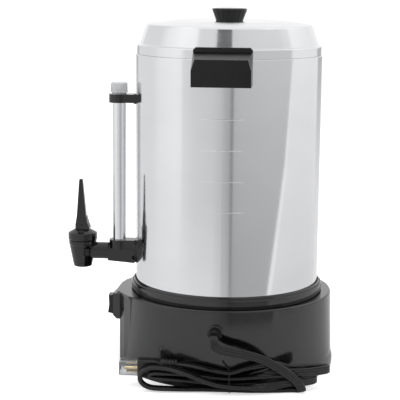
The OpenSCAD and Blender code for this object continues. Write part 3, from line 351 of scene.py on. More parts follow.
def spun(name, line, sides):
    """A closed outline of (radius, height) in mm, spun round Z at the origin."""
    points, faces = [], []
    for k in range(sides):
        a = 2 * math.pi * k / sides
        points += [(r * MM * math.cos(a), r * MM * math.sin(a), z * MM) for r, z in line]
    n = len(line)
    for k in range(sides):
        for i in range(n):
            a, b = k * n + i, k * n + (i + 1) % n
            c, d = ((k + 1) % sides) * n + (i + 1) % n, ((k + 1) % sides) * n + i
            faces.append((a, b, c, d))
    mesh = mesh_of(name, points, faces)
    tidy(mesh)
    return mesh


def tidy(mesh):
    work = bmesh.new()
    work.from_mesh(mesh)
    bmesh.ops.remove_doubles(work, verts=work.verts, dist=1e-6)
    bmesh.ops.dissolve_degenerate(work, edges=work.edges, dist=1e-7)
    bmesh.ops.recalc_face_normals(work, faces=work.faces)
    work.to_mesh(mesh)
    work.free()


def smooth_route(points, step):
    """Even points, about step apart, on a smooth curve through the given ones."""
    p = np.array(points, float)
    ends = np.vstack([2 * p[0] - p[1], p, 2 * p[-1] - p[-2]])
    fine = []
    for i in range(1, len(ends) - 2):
        p0, p1, p2, p3 = ends[i - 1 : i + 3]
        t0 = 0
        t1 = t0 + max(np.linalg.norm(p1[:3] - p0[:3]), 1e-6) ** 0.5
        t2 = t1 + max(np.linalg.norm(p2[:3] - p1[:3]), 1e-6) ** 0.5
        t3 = t2 + max(np.linalg.norm(p3[:3] - p2[:3]), 1e-6) ** 0.5
        for t in np.linspace(t1, t2, 12, endpoint=False):
            a1 = (t1 - t) / (t1 - t0) * p0 + (t - t0) / (t1 - t0) * p1
            a2 = (t2 - t) / (t2 - t1) * p1 + (t - t1) / (t2 - t1) * p2
            a3 = (t3 - t) / (t3 - t2) * p2 + (t - t2) / (t3 - t2) * p3
            b1 = (t2 - t) / (t2 - t0) * a1 + (t - t0) / (t2 - t0) * a2
            b2 = (t3 - t) / (t3 - t1) * a2 + (t - t1) / (t3 - t1) * a3
            fine.append((t2 - t) / (t2 - t1) * b1 + (t - t1) / (t2 - t1) * b2)
    fine = np.array(fine + [p[-1]])
    run = np.concatenate([[0], np.cumsum(np.linalg.norm(np.diff(fine[:, :3], axis=0), axis=1))])
    at = np.linspace(0, run[-1], max(2, int(round(run[-1] / step)) + 1))
    return np.stack([np.interp(at, run, fine[:, k]) for k in range(p.shape[1])], -1), run[-1]


def tree_input(tree, name, kind, value=None):
    socket = tree.interface.new_socket(name, in_out="INPUT", socket_type=kind)
    if value is not None:
        socket.default_value = value


def copies_tree():
    """A form on every point of a mesh, turned by the point's own turn."""
    tree = bpy.data.node_groups.new("Copies on points", "GeometryNodeTree")
    tree_input(tree, "Geometry", "NodeSocketGeometry")
    tree_input(tree, "Form", "NodeSocketObject")
    tree_input(tree, "Finish", "NodeSocketMaterial")
    tree.interface.new_socket("Geometry", in_out="OUTPUT", socket_type="NodeSocketGeometry")
    inputs = add(tree, "NodeGroupInput").outputs
    form = add(tree, "GeometryNodeObjectInfo", (), {"Object": inputs["Form"]})
    turn = add(tree, "GeometryNodeInputNamedAttribute", {"data_type": "FLOAT_VECTOR", "Name": "turn"})
    angles = add(tree, "FunctionNodeEulerToRotation", (), {0: turn.outputs["Attribute"]})
    copies = add(
        tree, "GeometryNodeInstanceOnPoints", (),
        {"Points": inputs["Geometry"], "Instance": form.outputs["Geometry"],
            "Rotation": angles.outputs[0]},
    )
    real = add(tree, "GeometryNodeRealizeInstances", (), {0: copies.outputs[0]})
    done = add(
        tree, "GeometryNodeSetMaterial", (), {"Geometry": real.outputs[0], "Material": inputs["Finish"]}
    )
    add(tree, "NodeGroupOutput", (), {0: done.outputs[0]})
    return tree


def wire_tree():
    """A round wire along every chain of edges of a mesh."""
    tree = bpy.data.node_groups.new("Wire along edges", "GeometryNodeTree")
    tree_input(tree, "Geometry", "NodeSocketGeometry")
    tree_input(tree, "Radius", "NodeSocketFloat", 0.001)
    tree_input(tree, "Sides", "NodeSocketInt", 12)
    tree_input(tree, "Finish", "NodeSocketMaterial")
    tree.interface.new_socket("Geometry", in_out="OUTPUT", socket_type="NodeSocketGeometry")
    inputs = add(tree, "NodeGroupInput").outputs
    line = add(tree, "GeometryNodeMeshToCurve", (), {"Mesh": inputs["Geometry"]})
    round_line = add(
        tree, "GeometryNodeCurvePrimitiveCircle", (),
        {"Resolution": inputs["Sides"], "Radius": inputs["Radius"]},
    )
    wire = add(
        tree, "GeometryNodeCurveToMesh", {"Fill Caps": True},
        {"Curve": line.outputs[0], "Profile Curve": round_line.outputs[0]},
    )
    real = add(tree, "GeometryNodeRealizeInstances", (), {0: wire.outputs[0]})
    done = add(
        tree, "GeometryNodeSetMaterial", (), {"Geometry": real.outputs[0], "Material": inputs["Finish"]}
    )
    add(tree, "NodeGroupOutput", (), {0: done.outputs[0]})
    return tree


def grown(name, mesh, tree, finish, body="root", **values):
    """The plain mesh that a tree makes of a mesh, as a piece."""
    source = bpy.data.objects.new(name + "_source", mesh)
    bpy.context.scene.collection.objects.link(source)
    modifier = source.modifiers.new("grow", "NODES")
    modifier.node_group = tree
    values["Finish"] = MATERIALS[finish]
    for item in tree.interface.items_tree:
        if item.in_out == "INPUT" and item.name in values:
            modifier[item.identifier] = values[item.name]
    ready = source.evaluated_get(bpy.context.evaluated_depsgraph_get())
    result = bpy.data.meshes.new_from_object(ready)
    result.name = name
    source.modifiers.clear()
    bpy.data.objects.remove(source)
    tidy(result)
    return new_piece(name, result, finish, body)


def copies(name, places, form, finish, body="root"):
    """Copies of a form mesh at (point in mm, Euler turn), as one piece."""
    helper = bpy.data.objects.new(name + "_form", form)
    bpy.context.scene.collection.objects.link(helper)
    mesh = mesh_of(name, [[v * MM for v in place[0]] for place in places])
    turn = mesh.attributes.new("turn", "FLOAT_VECTOR", "POINT")
    for i, place in enumerate(places):
        turn.data[i].vector = place[1]
    tree = bpy.data.node_groups["Copies on points"]
    piece = grown(name, mesh, tree, finish, body, Form=helper)
    bpy.data.objects.remove(helper)
    return piece


def wires(name, routes, radius, finish, sides):
    """Round wires along smooth routes of points in mm, as one piece."""
    points, edges = [], []
    for route, step in routes:
        line, _ = smooth_route(np.array(route) * MM, step)
        edges += [(len(points) + i, len(points) + i + 1) for i in range(len(line) - 1)]
        points += [tuple(p) for p in line]
    mesh = mesh_of(name, points, (), edges)
    tree = bpy.data.node_groups["Wire along edges"]
    return grown(name, mesh, tree, finish, Radius=radius, Sides=sides)


# ------------------------------------------------------------------- the cord

# Points in mm and the direction of the flat face, as in the part's source
CORD_ROUTE = [
    ((166.6, -5, 79.5), (0, 0, 1)), ((173, -5, 79.4), (0, 0, 1)),
    ((178.5, -4.9, 78), (0.4, 0, 1)), ((182, -4.2, 73.8), (1, 0, 0.4)),
    ((182.6, -1.8, 68.8), (1, 0, 0.1)), ((181.5, 5, 64.8), (1, 0.1, 0)),
    ((179, 18, 61), (1, 0.15, 0)), ((176, 34, 58), (1, 0.2, 0)), ((172, 54, 52), (1, 0.3, 0)),
    ((168, 74, 42), (1, 0.35, 0)), ((164, 92, 30), (1, 0.35, 0)), ((161, 104, 20), (1, 0.3, 0)),
    ((158.3, 110.5, 10.5), (1, 0.2, -0.5)), ((154.5, 112.5, 5), (0.4, 0.2, -1)),
    ((150.5, 109.5, 3.4), (0, 0, -1)), ((149, 106, 3.3), (0, 0, -1)),
]
TIE_X = 160
TIE_Y = 16
TIE_HEIGHTS = (4, 12, 11.4, 18.8, 26.8)
LEFT_X = 169
# Left folds as (lowest, highest, start, reach), right ones as (centre, height, half, reach)
LEFT_FOLDS = ((5.6, 33.6, -84, 20), (19.2, 26.4, -80, 12))
RIGHT_FOLDS = (((137, 104), 13.2, 10.5, 28), ((140.5, 112), 27.5, 8.4, 38))
RUN_B = [
    ((149, 103, 3.3), (0, 0, -1)), ((149, 99.5, 3.3), (0, 0, -1)),
    ((153.5, 75, 3.3), (0, 0, -1)), ((158, 45, 3.5), (0, 0, -1)),
    ((TIE_X, TIE_Y, TIE_HEIGHTS[0]), (0, 0, -1)), ((162, -20, 4.2), (0, 0, -1)),
    ((166, -50, 4.6), (0, 0, -1)),
]
RUN_C = [
    ((171, -66, 33.4), (0, 0, 1)), ((178, -45, 30.5), (0, 0, 1)), ((179, -26, 24.5), (0.1, 0, 1)),
    ((176.5, -6, 16.5), (0.1, 0, 1)), ((172.9, TIE_Y, TIE_HEIGHTS[1]), (0, 0, 1)),
    ((169.5, 42, 11), (0.2, 0, 1)), ((161.5, 68, 10.5), (0.8, 0.2, 0.6)),
    ((153.5, 90, 13), (0.93, 0.37, 0.1)),
]
RUN_D = [
    ((137, 82, 12.6), (-0.8, -0.3, -0.4)), ((147.5, 64, 12), (-0.4, -0.2, -0.9)),
    ((152.5, 50, 11.6), (0, 0, -1)), ((157.2, 34, 11.4), (0, 0, -1)),
    ((TIE_X, TIE_Y, TIE_HEIGHTS[2]), (0, 0, -1)), ((162, -20, 13.6), (0, 0, -1)),
    ((166, -50, 17.4), (0, 0, -1)),
]
RUN_E = [
    ((166, -50, 25.2), (0, 0, 1)), ((162, -20, 21.6), (0, 0, 1)),
    ((TIE_X, TIE_Y, TIE_HEIGHTS[3]), (0, 0, 1)), ((158, 42, 21), (0.2, 0, 1)),
    ((155.5, 68, 25), (0.7, 0.1, 0.7)), ((153, 92, 27.4), (0.93, 0.3, 0.2)),
]
RUN_F = [
    ((139.6, 93, 29.5), (-0.93, -0.37, -0.2)), ((144, 74, 36.5), (-0.4, 0, -0.9)),
    ((152, 56, 36), (-0.2, 0, -1)), ((157, 36, 32.5), (0, 0, -1)),
    ((TIE_X, TIE_Y, TIE_HEIGHTS[4]), (0, 0, -1)), ((161.5, -6, 30), (0, 0, -1)),
    ((160, -24, 33), (0, 0, -1)), ((155.5, -38, 33.8), (0, 0, -1)),
    ((150.5, -48, 33.3), (0, 0, -1)), ((148, -53, 33), (0, 0, -1)), ((148, -55.9, 33), (0, 0, -1)),
]
HALF_TURN = [math.radians(22.5 * i) for i in range(9)]
CORD_STEP = 0.0025  # metres between the cord's rings
LOBE_POINTS = 10
MIDDLE_POINTS = 4

# The twisted ends of the tie: radius in mm, then radians and mm for each step
TWIST_STEPS = 13
TWIST_RADIUS = 0.75
TWIST_TURN = 1.1
TWIST_LEAN = 0.2
TWIST_OUT = 0.774
TWIST_RISE = 0.95
TIE_WIRE = 0.0006  # radius in metres


def left_fold(fold):
    low, high, start, reach = fold
    half = (high - low) / 2
    return [
        ((LEFT_X, start - reach * math.sin(a), low + half - half * math.cos(a)),
            (0, -math.sin(a), -math.cos(a)))
        for a in HALF_TURN
    ]


def right_fold(fold):
    centre, height, half, reach = fold
    way = Vector((-0.37, 0.93, 0)).normalized()
    side = Vector((way.y, -way.x, 0))
    middle = Vector((*centre, height))
    return [
        (tuple(middle + half * math.cos(a) * side + reach * math.sin(a) * way),
            tuple(math.cos(a) * side + math.sin(a) * way))
        for a in HALF_TURN
    ]


def cord_section(lobe, gap):
    """Outline of the flat cord: three lobes side by side with a groove between them."""
    valley = math.asin(gap / 2 / lobe)
    outline = []
    turns = [
        (gap, -90 - math.degrees(valley), 90 + math.degrees(valley), LOBE_POINTS),
        (0, 90 - math.degrees(valley), 90 + math.degrees(valley), MIDDLE_POINTS),
        (-gap, 90 - math.degrees(valley), 270 + math.degrees(valley), LOBE_POINTS),
        (0, 270 - math.degrees(valley), 270 + math.degrees(valley), MIDDLE_POINTS),
    ]
    for centre, start, end, count in turns:
        for i in range(count):
            a = math.radians(start + (end - start) * i / count)
            outline.append((centre + lobe * math.cos(a), lobe * math.sin(a)))
    return outline


class URN_OT_cord(bpy.types.Operator):
    """Three-lobed flat cord, from the gland through the tied hank to the plug"""

    bl_idname = "urn.cord"
    bl_label = "Cord"

    def execute(self, context):
        sizes = context.scene.urn_sizes
        marks = (
            CORD_ROUTE + RUN_B + left_fold(LEFT_FOLDS[0]) + RUN_C + right_fold(RIGHT_FOLDS[0])
            + RUN_D + left_fold(LEFT_FOLDS[1]) + RUN_E + right_fold(RIGHT_FOLDS[1]) + RUN_F
        )
        route = [[v * MM for v in p] + list(Vector(n).normalized()) for p, n in marks]
        line, run = smooth_route(route, CORD_STEP)
        outline = cord_section(sizes.lobe, sizes.lobe_gap)
        rings = []
        for i, row in enumerate(line):
            ahead = line[min(i + 1, len(line) - 1), :3] - line[max(i - 1, 0), :3]
            d = Vector(ahead).normalized()
            n = Vector(row[3:])
            n = (n - n.dot(d) * d).normalized()
            s = d.cross(n)
            rings.append([Vector(row[:3]) + x * s + y * n for x, y in outline])
        mesh = mesh_of("flat_cord", *swept(rings))
        tidy(mesh)
        cord = new_piece("flat_cord", mesh, "cord", smooth=math.radians(50))
        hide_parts("power_cord", "cord_hank")
        tie = self.tie(context)
        return {"FINISHED"}

    def tie(self, context):
        """Wire tie round the hank, with its two twisted ends."""
        x, y = TIE_X, TIE_Y
        band = [
            (x, 0.8), (x + 4, 0.8), (x + 7, 1.1), (x + 13.5, 5.2), (179, 8.9), (179, 15.3),
            (x + 13.5, 23.5), (x + 6.6, 29.5), (x, 29.95), (x - 6.2, 29.5), (x - 6.5, 26),
            (x - 6.5, 15), (x - 6.5, 4), (x - 6.2, 1.6), (x - 4.6, 0.8), (x, 0.8),
        ]
        loop = [(px, y, pz) for px, pz in band]
        ends = []
        for turn in (0, math.pi):
            ends.append([
                (x - 4 + TWIST_RADIUS * math.cos(turn + t * TWIST_TURN) - TWIST_LEAN * t,
                    y - 1.2 - TWIST_OUT * t,
                    29.4 + t * TWIST_RISE + TWIST_RADIUS * math.sin(turn + t * TWIST_TURN))
                for t in range(TWIST_STEPS)
            ])
        routes = [(loop, 0.001)] + [(end, 0.0006) for end in ends]
        tie = wires("wire_tie", routes, TIE_WIRE, "cord", 8)
        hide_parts("cord_tie")
        return tie


# ------------------------------------------------------------ small metal pieces

# Lengths in mm and angles in degrees, where no other unit is given
HUB = 0.01  # a spun outline keeps this far from its axis
POST_CIRCLE = 143.2
POST_ANGLES = (45, 135, 225, 330)
POST_SEAT = 4
POST_HEAD = 2.2
WALL_SEAT = 128.7
HANDLE_SCREWS_Z = (414.5, 428.5)
BRACKET_SCREW_Z = 377.5
WALL_HEAD = 2.4
HOLE_RADIUS = 1.9
HOLE_ROWS = ((73, 24), (43.5, 16))  # (radius of the row, holes in it)
BASKET_HOLES_Z = 328
COVER_HOLES_Z = 413.3
LEADS = (
    ((91, -18, 12), (91, -18, 34), (80, -60, 56), (48, -104, 70), (31, -122, 81.2),
        (31, -128, 81.2)),
    ((91, 8, 12), (91, 10, 34), (64, 36, 50), (30, 58, 54), (14, 61, 58), (12.9, 60.6, 68.4)),
    ((31, -128, 95.2), (31, -122, 94.6), (24, -92, 86), (12, -62, 82), (5, -38, 86),
        (5, -36, 94.4)),
    ((-5, -36, 94.4), (-6, -34, 88), (-22, -30, 86), (-38, -26, 94), (-42, -18, 104),
        (-42, -12.1, 108)),
    ((-42, 12.1, 108), (-42, 18, 102), (-36, 38, 84), (-24, 54, 64), (-14, 61, 58),
        (-12.9, 60.6, 68.4)),
)
SPRING_LOW = 160.6
SPRING_HIGH = 179.4
SPRING_COILS = 6
SPRING_RADIUS = 4.7
SPRING_Y = -209
COIL_STEPS = 24

# Metres and degrees
TANK_RADIUS = 0.130
MARK_HEIGHTS = (0.363, 0.3215, 0.2797, 0.2386)
MARK_START = -13.7
MARK_SPAN = 27
MARK_STEPS = 16
MARK_HALF = 0.0008
MARK_SHOULDER = 0.0005
MARK_SUNK = 0.0002


def pan_head(radius, height):
    """Pan head, its seat at the origin and its top towards +Z. The cross on it is raised by a
    few hundredths of its height, and stands for the driver's recess."""
    line = [
        (HUB, 0), (radius * 0.97, 0), (radius, height * 0.18), (radius * 0.93, height * 0.62),
        (radius * 0.7, height * 0.92), (radius * 0.35, height), (HUB, height),
    ]
    head = spun("pan_head", line, 32)
    work = bmesh.new()
    work.from_mesh(head)
    for turn in (0, math.pi / 2):
        cross = Matrix.Rotation(turn, 4, "Z") @ Matrix.Translation((0, 0, height * MM * 0.98))
        size = Matrix.Diagonal((radius * 1.1 * MM, radius * 0.22 * MM, height * 0.12 * MM, 1))
        bmesh.ops.create_cube(work, size=1, matrix=cross @ size)
    work.to_mesh(head)
    work.free()
    return head


class URN_OT_fasteners(bpy.types.Operator):
    """Pan heads of the screws under the base and in the tank, copied on points"""

    bl_idname = "urn.fasteners"
    bl_label = "Fasteners"

    def execute(self, context):
        radius = context.scene.urn_sizes.screw_head / MM / 2
        posts = [
            ((POST_CIRCLE * math.cos(a), POST_CIRCLE * math.sin(a), POST_SEAT), (math.pi, 0, a))
            for a in map(math.radians, POST_ANGLES)
        ]
        form = pan_head(radius, POST_HEAD)
        heads = copies("bottom_screw_heads", posts, form, "steel")
        inside = [
            ((side * WALL_SEAT, 0, z), (0, -side * math.pi / 2, 0))
            for side in (1, -1) for z in HANDLE_SCREWS_Z
        ] + [((0, -WALL_SEAT, BRACKET_SCREW_Z), (-math.pi / 2, 0, 0))]
        more = copies("inner_screw_heads", inside, pan_head(radius, WALL_HEAD), "steel")
        return {"FINISHED"}


class URN_OT_strainers(bpy.types.Operator):
    """Rolled rims round the holes of the basket and of its cover"""

    bl_idname = "urn.strainers"
    bl_label = "Strainer rims"

    def execute(self, context):
        wire = context.scene.urn_sizes.rim_wire / MM / 2
        torus = [
            (HOLE_RADIUS + wire * math.cos(a), wire * math.sin(a))
            for a in (2 * math.pi * k / 6 for k in range(6))
        ]
        for name, body, z in (
            ("basket_hole_rims", "basket", BASKET_HOLES_Z), ("cover_hole_rims", "cover", COVER_HOLES_Z),
        ):
            places = [
                ((r * math.cos(2 * math.pi * i / n), r * math.sin(2 * math.pi * i / n), z), (0, 0, 0))
                for r, n in HOLE_ROWS for i in range(n)
            ]
            rims = copies(name, places, spun("hole_rim", torus, 14), "inner", body)
        return {"FINISHED"}


class URN_OT_wiring(bpy.types.Operator):
    """Round leads in the base and the coil spring of the valve"""

    bl_idname = "urn.wiring"
    bl_label = "Leads and spring"

    def execute(self, context):
        sizes = context.scene.urn_sizes
        routes = [(route, 0.003) for route in LEADS]
        piece = wires("leads", routes, sizes.lead_wire / 2, "lead", 10)
        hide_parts("lead_wires")
        steps = COIL_STEPS * SPRING_COILS
        turns = []
        for i in range(steps + 1):
            a = 2 * math.pi * i / COIL_STEPS
            height = SPRING_LOW + (SPRING_HIGH - SPRING_LOW) * i / steps
            turns.append((SPRING_RADIUS * math.cos(a), SPRING_Y + SPRING_RADIUS * math.sin(a), height))
        spring = wires("valve_coil", [(turns, 0.0008)], sizes.spring_wire / 2, "steel", 8)
        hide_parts("valve_spring")
        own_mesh(spring)
        return {"FINISHED"}


class URN_OT_level_marks(bpy.types.Operator):
    """Short raised level lines pressed out of the tank's side"""

    bl_idname = "urn.level_marks"
    bl_label = "Level marks"

    def execute(self, context):
        proud = context.scene.urn_sizes.mark_proud
        foot = TANK_RADIUS - MARK_SUNK
        points, faces = [], []
        for z in MARK_HEIGHTS:
            rings = []
            for i in range(MARK_STEPS + 1):
                a = math.radians(MARK_START + MARK_SPAN * i / MARK_STEPS)
                fade = min(1, i / 2, (MARK_STEPS - i) / 2)
                shoulder = TANK_RADIUS + proud * 0.5 * fade
                crest = TANK_RADIUS + proud * fade
                ring = [
                    (r * math.cos(a), r * math.sin(a), z + dz)
                    for r, dz in (
                        (foot, MARK_HALF), (shoulder, MARK_SHOULDER), (crest, 0),
                        (shoulder, -MARK_SHOULDER), (foot, -MARK_HALF),
                    )
                ]
                rings.append(ring)
            more, sides = swept(rings)
            faces += [tuple(len(points) + v for v in f) for f in sides]
            points += more
        mesh = mesh_of("level_marks", points, faces)
        tidy(mesh)
        marks = new_piece("level_marks", mesh, "tank", smooth=math.radians(80))
        return {"FINISHED"}


class URN_OT_finishes(bpy.types.Operator):
    """Finishes of all the pieces that keep their solid's shape"""

    bl_idname = "urn.finishes"
    bl_label = "Finishes"

    def execute(self, context):
        missing = [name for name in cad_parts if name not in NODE_FINISH]
        if missing:
            raise RuntimeError(f"no finish for {missing}")
        for name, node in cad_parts.items():
            node.data.materials.clear()
            node.data.materials.append(MATERIALS[NODE_FINISH[name]])
        return {"FINISHED"}


# ------------------------------------------------------------------- the studio


FLOOR_LIFT = 0.53  # glow of the paper floor, seen only by the camera
FLOOR_HALF = 60  # metres from the middle of the floor to its edge
AIR_LIGHT = 0.55  # strength of the air as a light
AIR_SEEN = 1.0  # its strength where it is seen or mirrored

# Level directions from the urn: towards the camera, and towards the right of its picture
TO_CAMERA = Vector((0.9981, 0.0610, 0))
TO_RIGHT = Vector((-0.0610, 0.9981, 0))
UP = Vector((0, 0, 1))

# Distances of the cards from the urn's axis in metres; the nearer one hides the farther
HOOD = 0.54
NEAR = 0.55
EDGE = 0.57
FAR = 0.59
CARD_LEVELS = 6
CARD_STEP = 2.5  # degrees between the rows of a card
AIM = Vector((0, 0, 0.2))  # where the lights point

# The camera, in metres, radians and pixels
CAMERA_OUT = 1.88414
CAMERA_HEIGHT = 0.5552
CAMERA_YAW = 0.020719
CAMERA_PITCH = 0.169081
CAMERA_ROLL = 0.0091114
FOCAL_PIXELS = 1337.18
PHOTO_PIXELS = 400
SENSOR_MM = 36


def stage_mesh(name, mesh, material):
    item = bpy.data.objects.new(name, mesh)
    bpy.context.scene.collection.objects.link(item)
    mesh.materials.append(material)
    return item


def seen(tree):
    """1 for camera, glossy and transmission rays, else 0."""
    path = add(tree, "ShaderNodeLightPath")
    both = add(
        tree, "ShaderNodeMath", {"operation": "MAXIMUM"},
        {0: path.outputs["Is Camera Ray"], 1: path.outputs["Is Glossy Ray"]},
    )
    return add(
        tree, "ShaderNodeMath", {"operation": "MAXIMUM"},
        {0: both.outputs[0], 1: path.outputs["Is Transmission Ray"]},
    ).outputs[0]


def card(name, rows, distance):
    """A curved card of the studio that only shiny surfaces see. rows: (angle from the camera
    towards the right, lowest, highest, glow at the lowest, glow at the highest), in degrees
    and metres."""
    points, faces, glows = [], [], []
    for angle, low, high, dim, bright in rows:
        a = math.radians(angle)
        base = distance * (math.cos(a) * TO_CAMERA + math.sin(a) * TO_RIGHT)
        for k in range(CARD_LEVELS + 1):
            share = k / CARD_LEVELS
            points.append(tuple(base + Vector((0, 0, low + (high - low) * share))))
            glows.append(dim + (bright - dim) * share)
    for i in range(len(rows) - 1):
        for k in range(CARD_LEVELS):
            corner = i * (CARD_LEVELS + 1) + k
            beyond = corner + CARD_LEVELS + 1
            faces.append((corner, beyond, beyond + 1, corner + 1))
    mesh = mesh_of(name, points, faces)
    glow_data = mesh.attributes.new("glow", "FLOAT", "POINT")
    glow_data.data.foreach_set("value", glows)
    material, tree = new_material(name)
    glow = add(tree, "ShaderNodeAttribute", {"attribute_name": "glow"})
    light = add(
        tree, "ShaderNodeEmission", {"Color": (1, 1, 1, 1)}, {"Strength": glow.outputs["Fac"]}
    )
    add(tree, "ShaderNodeOutputMaterial", (), {"Surface": light.outputs[0]})
    item = stage_mesh(name, mesh, material)
    item.visible_camera = False
    item.visible_diffuse = False
    item.visible_shadow = False
    item.visible_transmission = False


def rows_between(marks):
    """Rows at even angles between marked ones."""
    rows = []
    for one, two in zip(marks, marks[1:]):
        count = max(1, int((two[0] - one[0]) / CARD_STEP))
        rows += [[p + (q - p) * i / count for p, q in zip(one, two)] for i in range(count)]
    return rows + [list(marks[-1])]


class URN_OT_stage(bpy.types.Operator):
    """Pale floor, studio cards, soft lights and the camera"""

    bl_idname = "urn.stage"
    bl_label = "Studio"

    def execute(self, context):
        self.world(context)
        self.floor()
        self.cards()
        self.lights(context)
        self.camera(context)
        return {"FINISHED"}

    def world(self, context):
        world = bpy.data.worlds.new("studio_air")
        world.use_nodes = True
        tree = world.node_tree
        tree.nodes.clear()
        strength = add(
            tree, "ShaderNodeMapRange", {"To Min": AIR_LIGHT, "To Max": AIR_SEEN},
            {"Value": seen(tree)},
        )
        air = add(tree, "ShaderNodeBackground", {"Color": (1, 1, 1, 1)}, {"Strength": strength.outputs[0]})
        add(tree, "ShaderNodeOutputWorld", (), {"Surface": air.outputs[0]})
        context.scene.world = world

    def floor(self):
        material, tree = new_material("pale_floor")
        grain = shaded(tree, noise(tree, 400), linear("#f4f4f4"), 0.985)
        paper = add(tree, "ShaderNodeBsdfDiffuse", {"Roughness": 0.5}, {"Color": grain})
        path = add(tree, "ShaderNodeLightPath")
        lift = add(
            tree, "ShaderNodeMath", {"operation": "MULTIPLY", 1: FLOOR_LIFT},
            {0: path.outputs["Is Camera Ray"]},
        )
        glow = add(
            tree, "ShaderNodeEmission", {"Color": (1, 1, 1, 1)}, {"Strength": lift.outputs[0]}
        )
        both = add(tree, "ShaderNodeAddShader", (), {0: paper.outputs[0], 1: glow.outputs[0]})
        add(tree, "ShaderNodeOutputMaterial", (), {"Surface": both.outputs[0]})
        corners = [(x * FLOOR_HALF, y * FLOOR_HALF, 0) for x, y in ((-1, -1), (1, -1), (1, 1), (-1, 1))]
        mesh = mesh_of("pale_floor", corners, [(0, 1, 2, 3)])
        stage_mesh("pale_floor", mesh, material)

    def cards(self):
        """What the buffed tank mirrors: a grey card right of the camera, cut along a slant
        with a bright edge, and pale cards round it. The lid sees the upper halves."""
        card("grey_card", rows_between([
            (5.4, -0.1, 0.9, 0.36, 0.78), (14, -0.1, 0.9, 0.38, 0.84), (44, 0.0, 0.9, 0.44, 0.9),
            (55, 0.12, 0.9, 0.5, 0.92), (66, 0.24, 0.9, 0.56, 0.94), (74, 0.4, 0.9, 0.64, 1.1),
            (80, 0.6, 0.9, 0.8, 1.2),
        ]), NEAR)
        card("dark_line", rows_between([(2.6, -0.1, 0.6, 0.3, 0.26), (5.4, -0.1, 0.6, 0.3, 0.26)]), NEAR)
        card("bright_edge", rows_between([
            (20, -0.1, 0.9, 1, 1), (47, -0.03, 0.9, 1, 1), (69, 0.22, 0.9, 1, 1), (83, 0.6, 0.9, 1, 1),
        ]), EDGE)
        card("right_card", rows_between([
            (40, -0.1, 1.0, 0.76, 1.2), (90, -0.1, 1.0, 0.72, 1.25), (130, -0.1, 1.0, 0.78, 1.1),
        ]), FAR)
        card("left_gap", rows_between([
            (-52, -0.1, 0.2, 0.92, 0.86), (-37, -0.1, 0.2, 0.92, 0.76), (-16, -0.1, 0.2, 0.9, 0.7),
            (-6, -0.1, 0.2, 0.68, 0.58), (2.6, -0.1, 0.2, 0.5, 0.42),
        ]), NEAR)
        card("left_gap_top", rows_between([
            (-52, 0.2, 0.62, 0.86, 0.86), (-37, 0.2, 0.62, 0.76, 0.78), (-16, 0.2, 0.62, 0.7, 0.72),
            (-6, 0.2, 0.62, 0.58, 0.6), (2.6, 0.2, 0.62, 0.42, 0.44),
        ]), NEAR)
        card("left_card", rows_between([
            (-140, -0.1, 1.0, 0.78, 0.86), (-97, -0.1, 1.0, 0.84, 0.86), (-83, -0.1, 1.0, 0.86, 1.1),
            (-60, -0.1, 1.0, 0.86, 1.25), (-42, -0.1, 1.0, 0.8, 1.2), (-38, -0.1, 1.0, 0.8, 0.84),
            (4, -0.1, 1.0, 0.8, 0.84),
        ]), FAR)
        card("camera_hood", rows_between([(-15, 0.64, 0.92, 0.16, 0.2), (4, 0.64, 0.92, 0.16, 0.2)]), HOOD)

    def lights(self, context):
        for name, place, size, power in (
            ("key_softbox", (1.6, -2.6, 2.6), 1.8, 34),
            ("fill_softbox", (2.2, 2.8, 1.8), 1.8, 22),
            ("top_softbox", (0.2, 0.2, 3.0), 2.2, 30),
        ):
            light = bpy.data.lights.new(name, "AREA")
            light.shape = "SQUARE"
            light.size = size
            light.energy = power
            lamp = bpy.data.objects.new(name, light)
            lamp.location = place
            aim = AIM - Vector(place)
            lamp.rotation_euler = aim.to_track_quat("-Z", "Y").to_euler()
            lamp.visible_glossy = False
            context.scene.collection.objects.link(lamp)

    def camera(self, context):
        """Place, aim and lens fitted to the photograph's outlines of the tank and base."""
        level = math.cos(CAMERA_PITCH)
        ahead = -math.cos(CAMERA_YAW) * level * TO_CAMERA - math.sin(CAMERA_YAW) * level * TO_RIGHT
        ahead -= math.sin(CAMERA_PITCH) * UP
        right = ahead.cross(UP).normalized()
        above = right.cross(ahead)
        side = math.cos(CAMERA_ROLL) * right + math.sin(CAMERA_ROLL) * above
        top = -math.sin(CAMERA_ROLL) * right + math.cos(CAMERA_ROLL) * above
        data = bpy.data.cameras.new("photo_camera")
        data.sensor_width = SENSOR_MM
        data.lens = SENSOR_MM * FOCAL_PIXELS / PHOTO_PIXELS
        camera = bpy.data.objects.new("photo_camera", data)
        turn = Matrix((side, top, -ahead)).transposed().to_4x4()
        place = CAMERA_OUT * TO_CAMERA + CAMERA_HEIGHT * UP
        camera.matrix_world = Matrix.Translation(place) @ turn
        context.scene.collection.objects.link(camera)
        context.scene.camera = camera
        context.scene.view_settings.view_transform = "Standard"


class URN_PT_panel(bpy.types.Panel):
    """Steps of the urn's dressing"""

    bl_idname = "URN_PT_panel"
    bl_label = "Coffee urn"
    bl_space_type = "VIEW_3D"
    bl_region_type = "UI"
    bl_category = "Urn"

    def draw(self, context):
        for operator in OPERATORS:
            self.layout.operator(operator.bl_idname)
        for group in (context.scene.urn_sizes, context.scene.urn_colours):
            for name in group.bl_rna.properties.keys():
                if name not in ("rna_type", "name"):
                    self.layout.prop(group, name)


OPERATORS = (
    URN_OT_stage, URN_OT_finishes, URN_OT_cord, URN_OT_fasteners, URN_OT_strainers,
    URN_OT_wiring, URN_OT_level_marks,
)
CLASSES = (UrnSizes, UrnColours, *OPERATORS, URN_PT_panel)


def register():
    for item in CLASSES:
        bpy.utils.register_class(item)
    bpy.types.Scene.urn_sizes = bpy.props.PointerProperty(type=UrnSizes)
    bpy.types.Scene.urn_colours = bpy.props.PointerProperty(type=UrnColours)


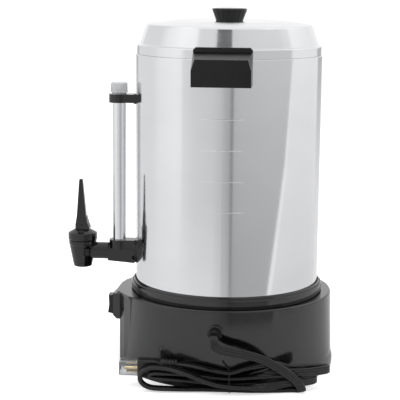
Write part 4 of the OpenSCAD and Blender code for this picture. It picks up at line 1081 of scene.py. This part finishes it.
def unregister():
    del bpy.types.Scene.urn_colours
    del bpy.types.Scene.urn_sizes
    for item in reversed(CLASSES):
        bpy.utils.unregister_class(item)


def main():
    register()
    MATERIALS.update(make_materials())
    copies_tree()
    wire_tree()
    for operator in OPERATORS:
        group, name = operator.bl_idname.split(".")
        getattr(getattr(bpy.ops, group), name)()


if __name__ == "__main__":
    main()
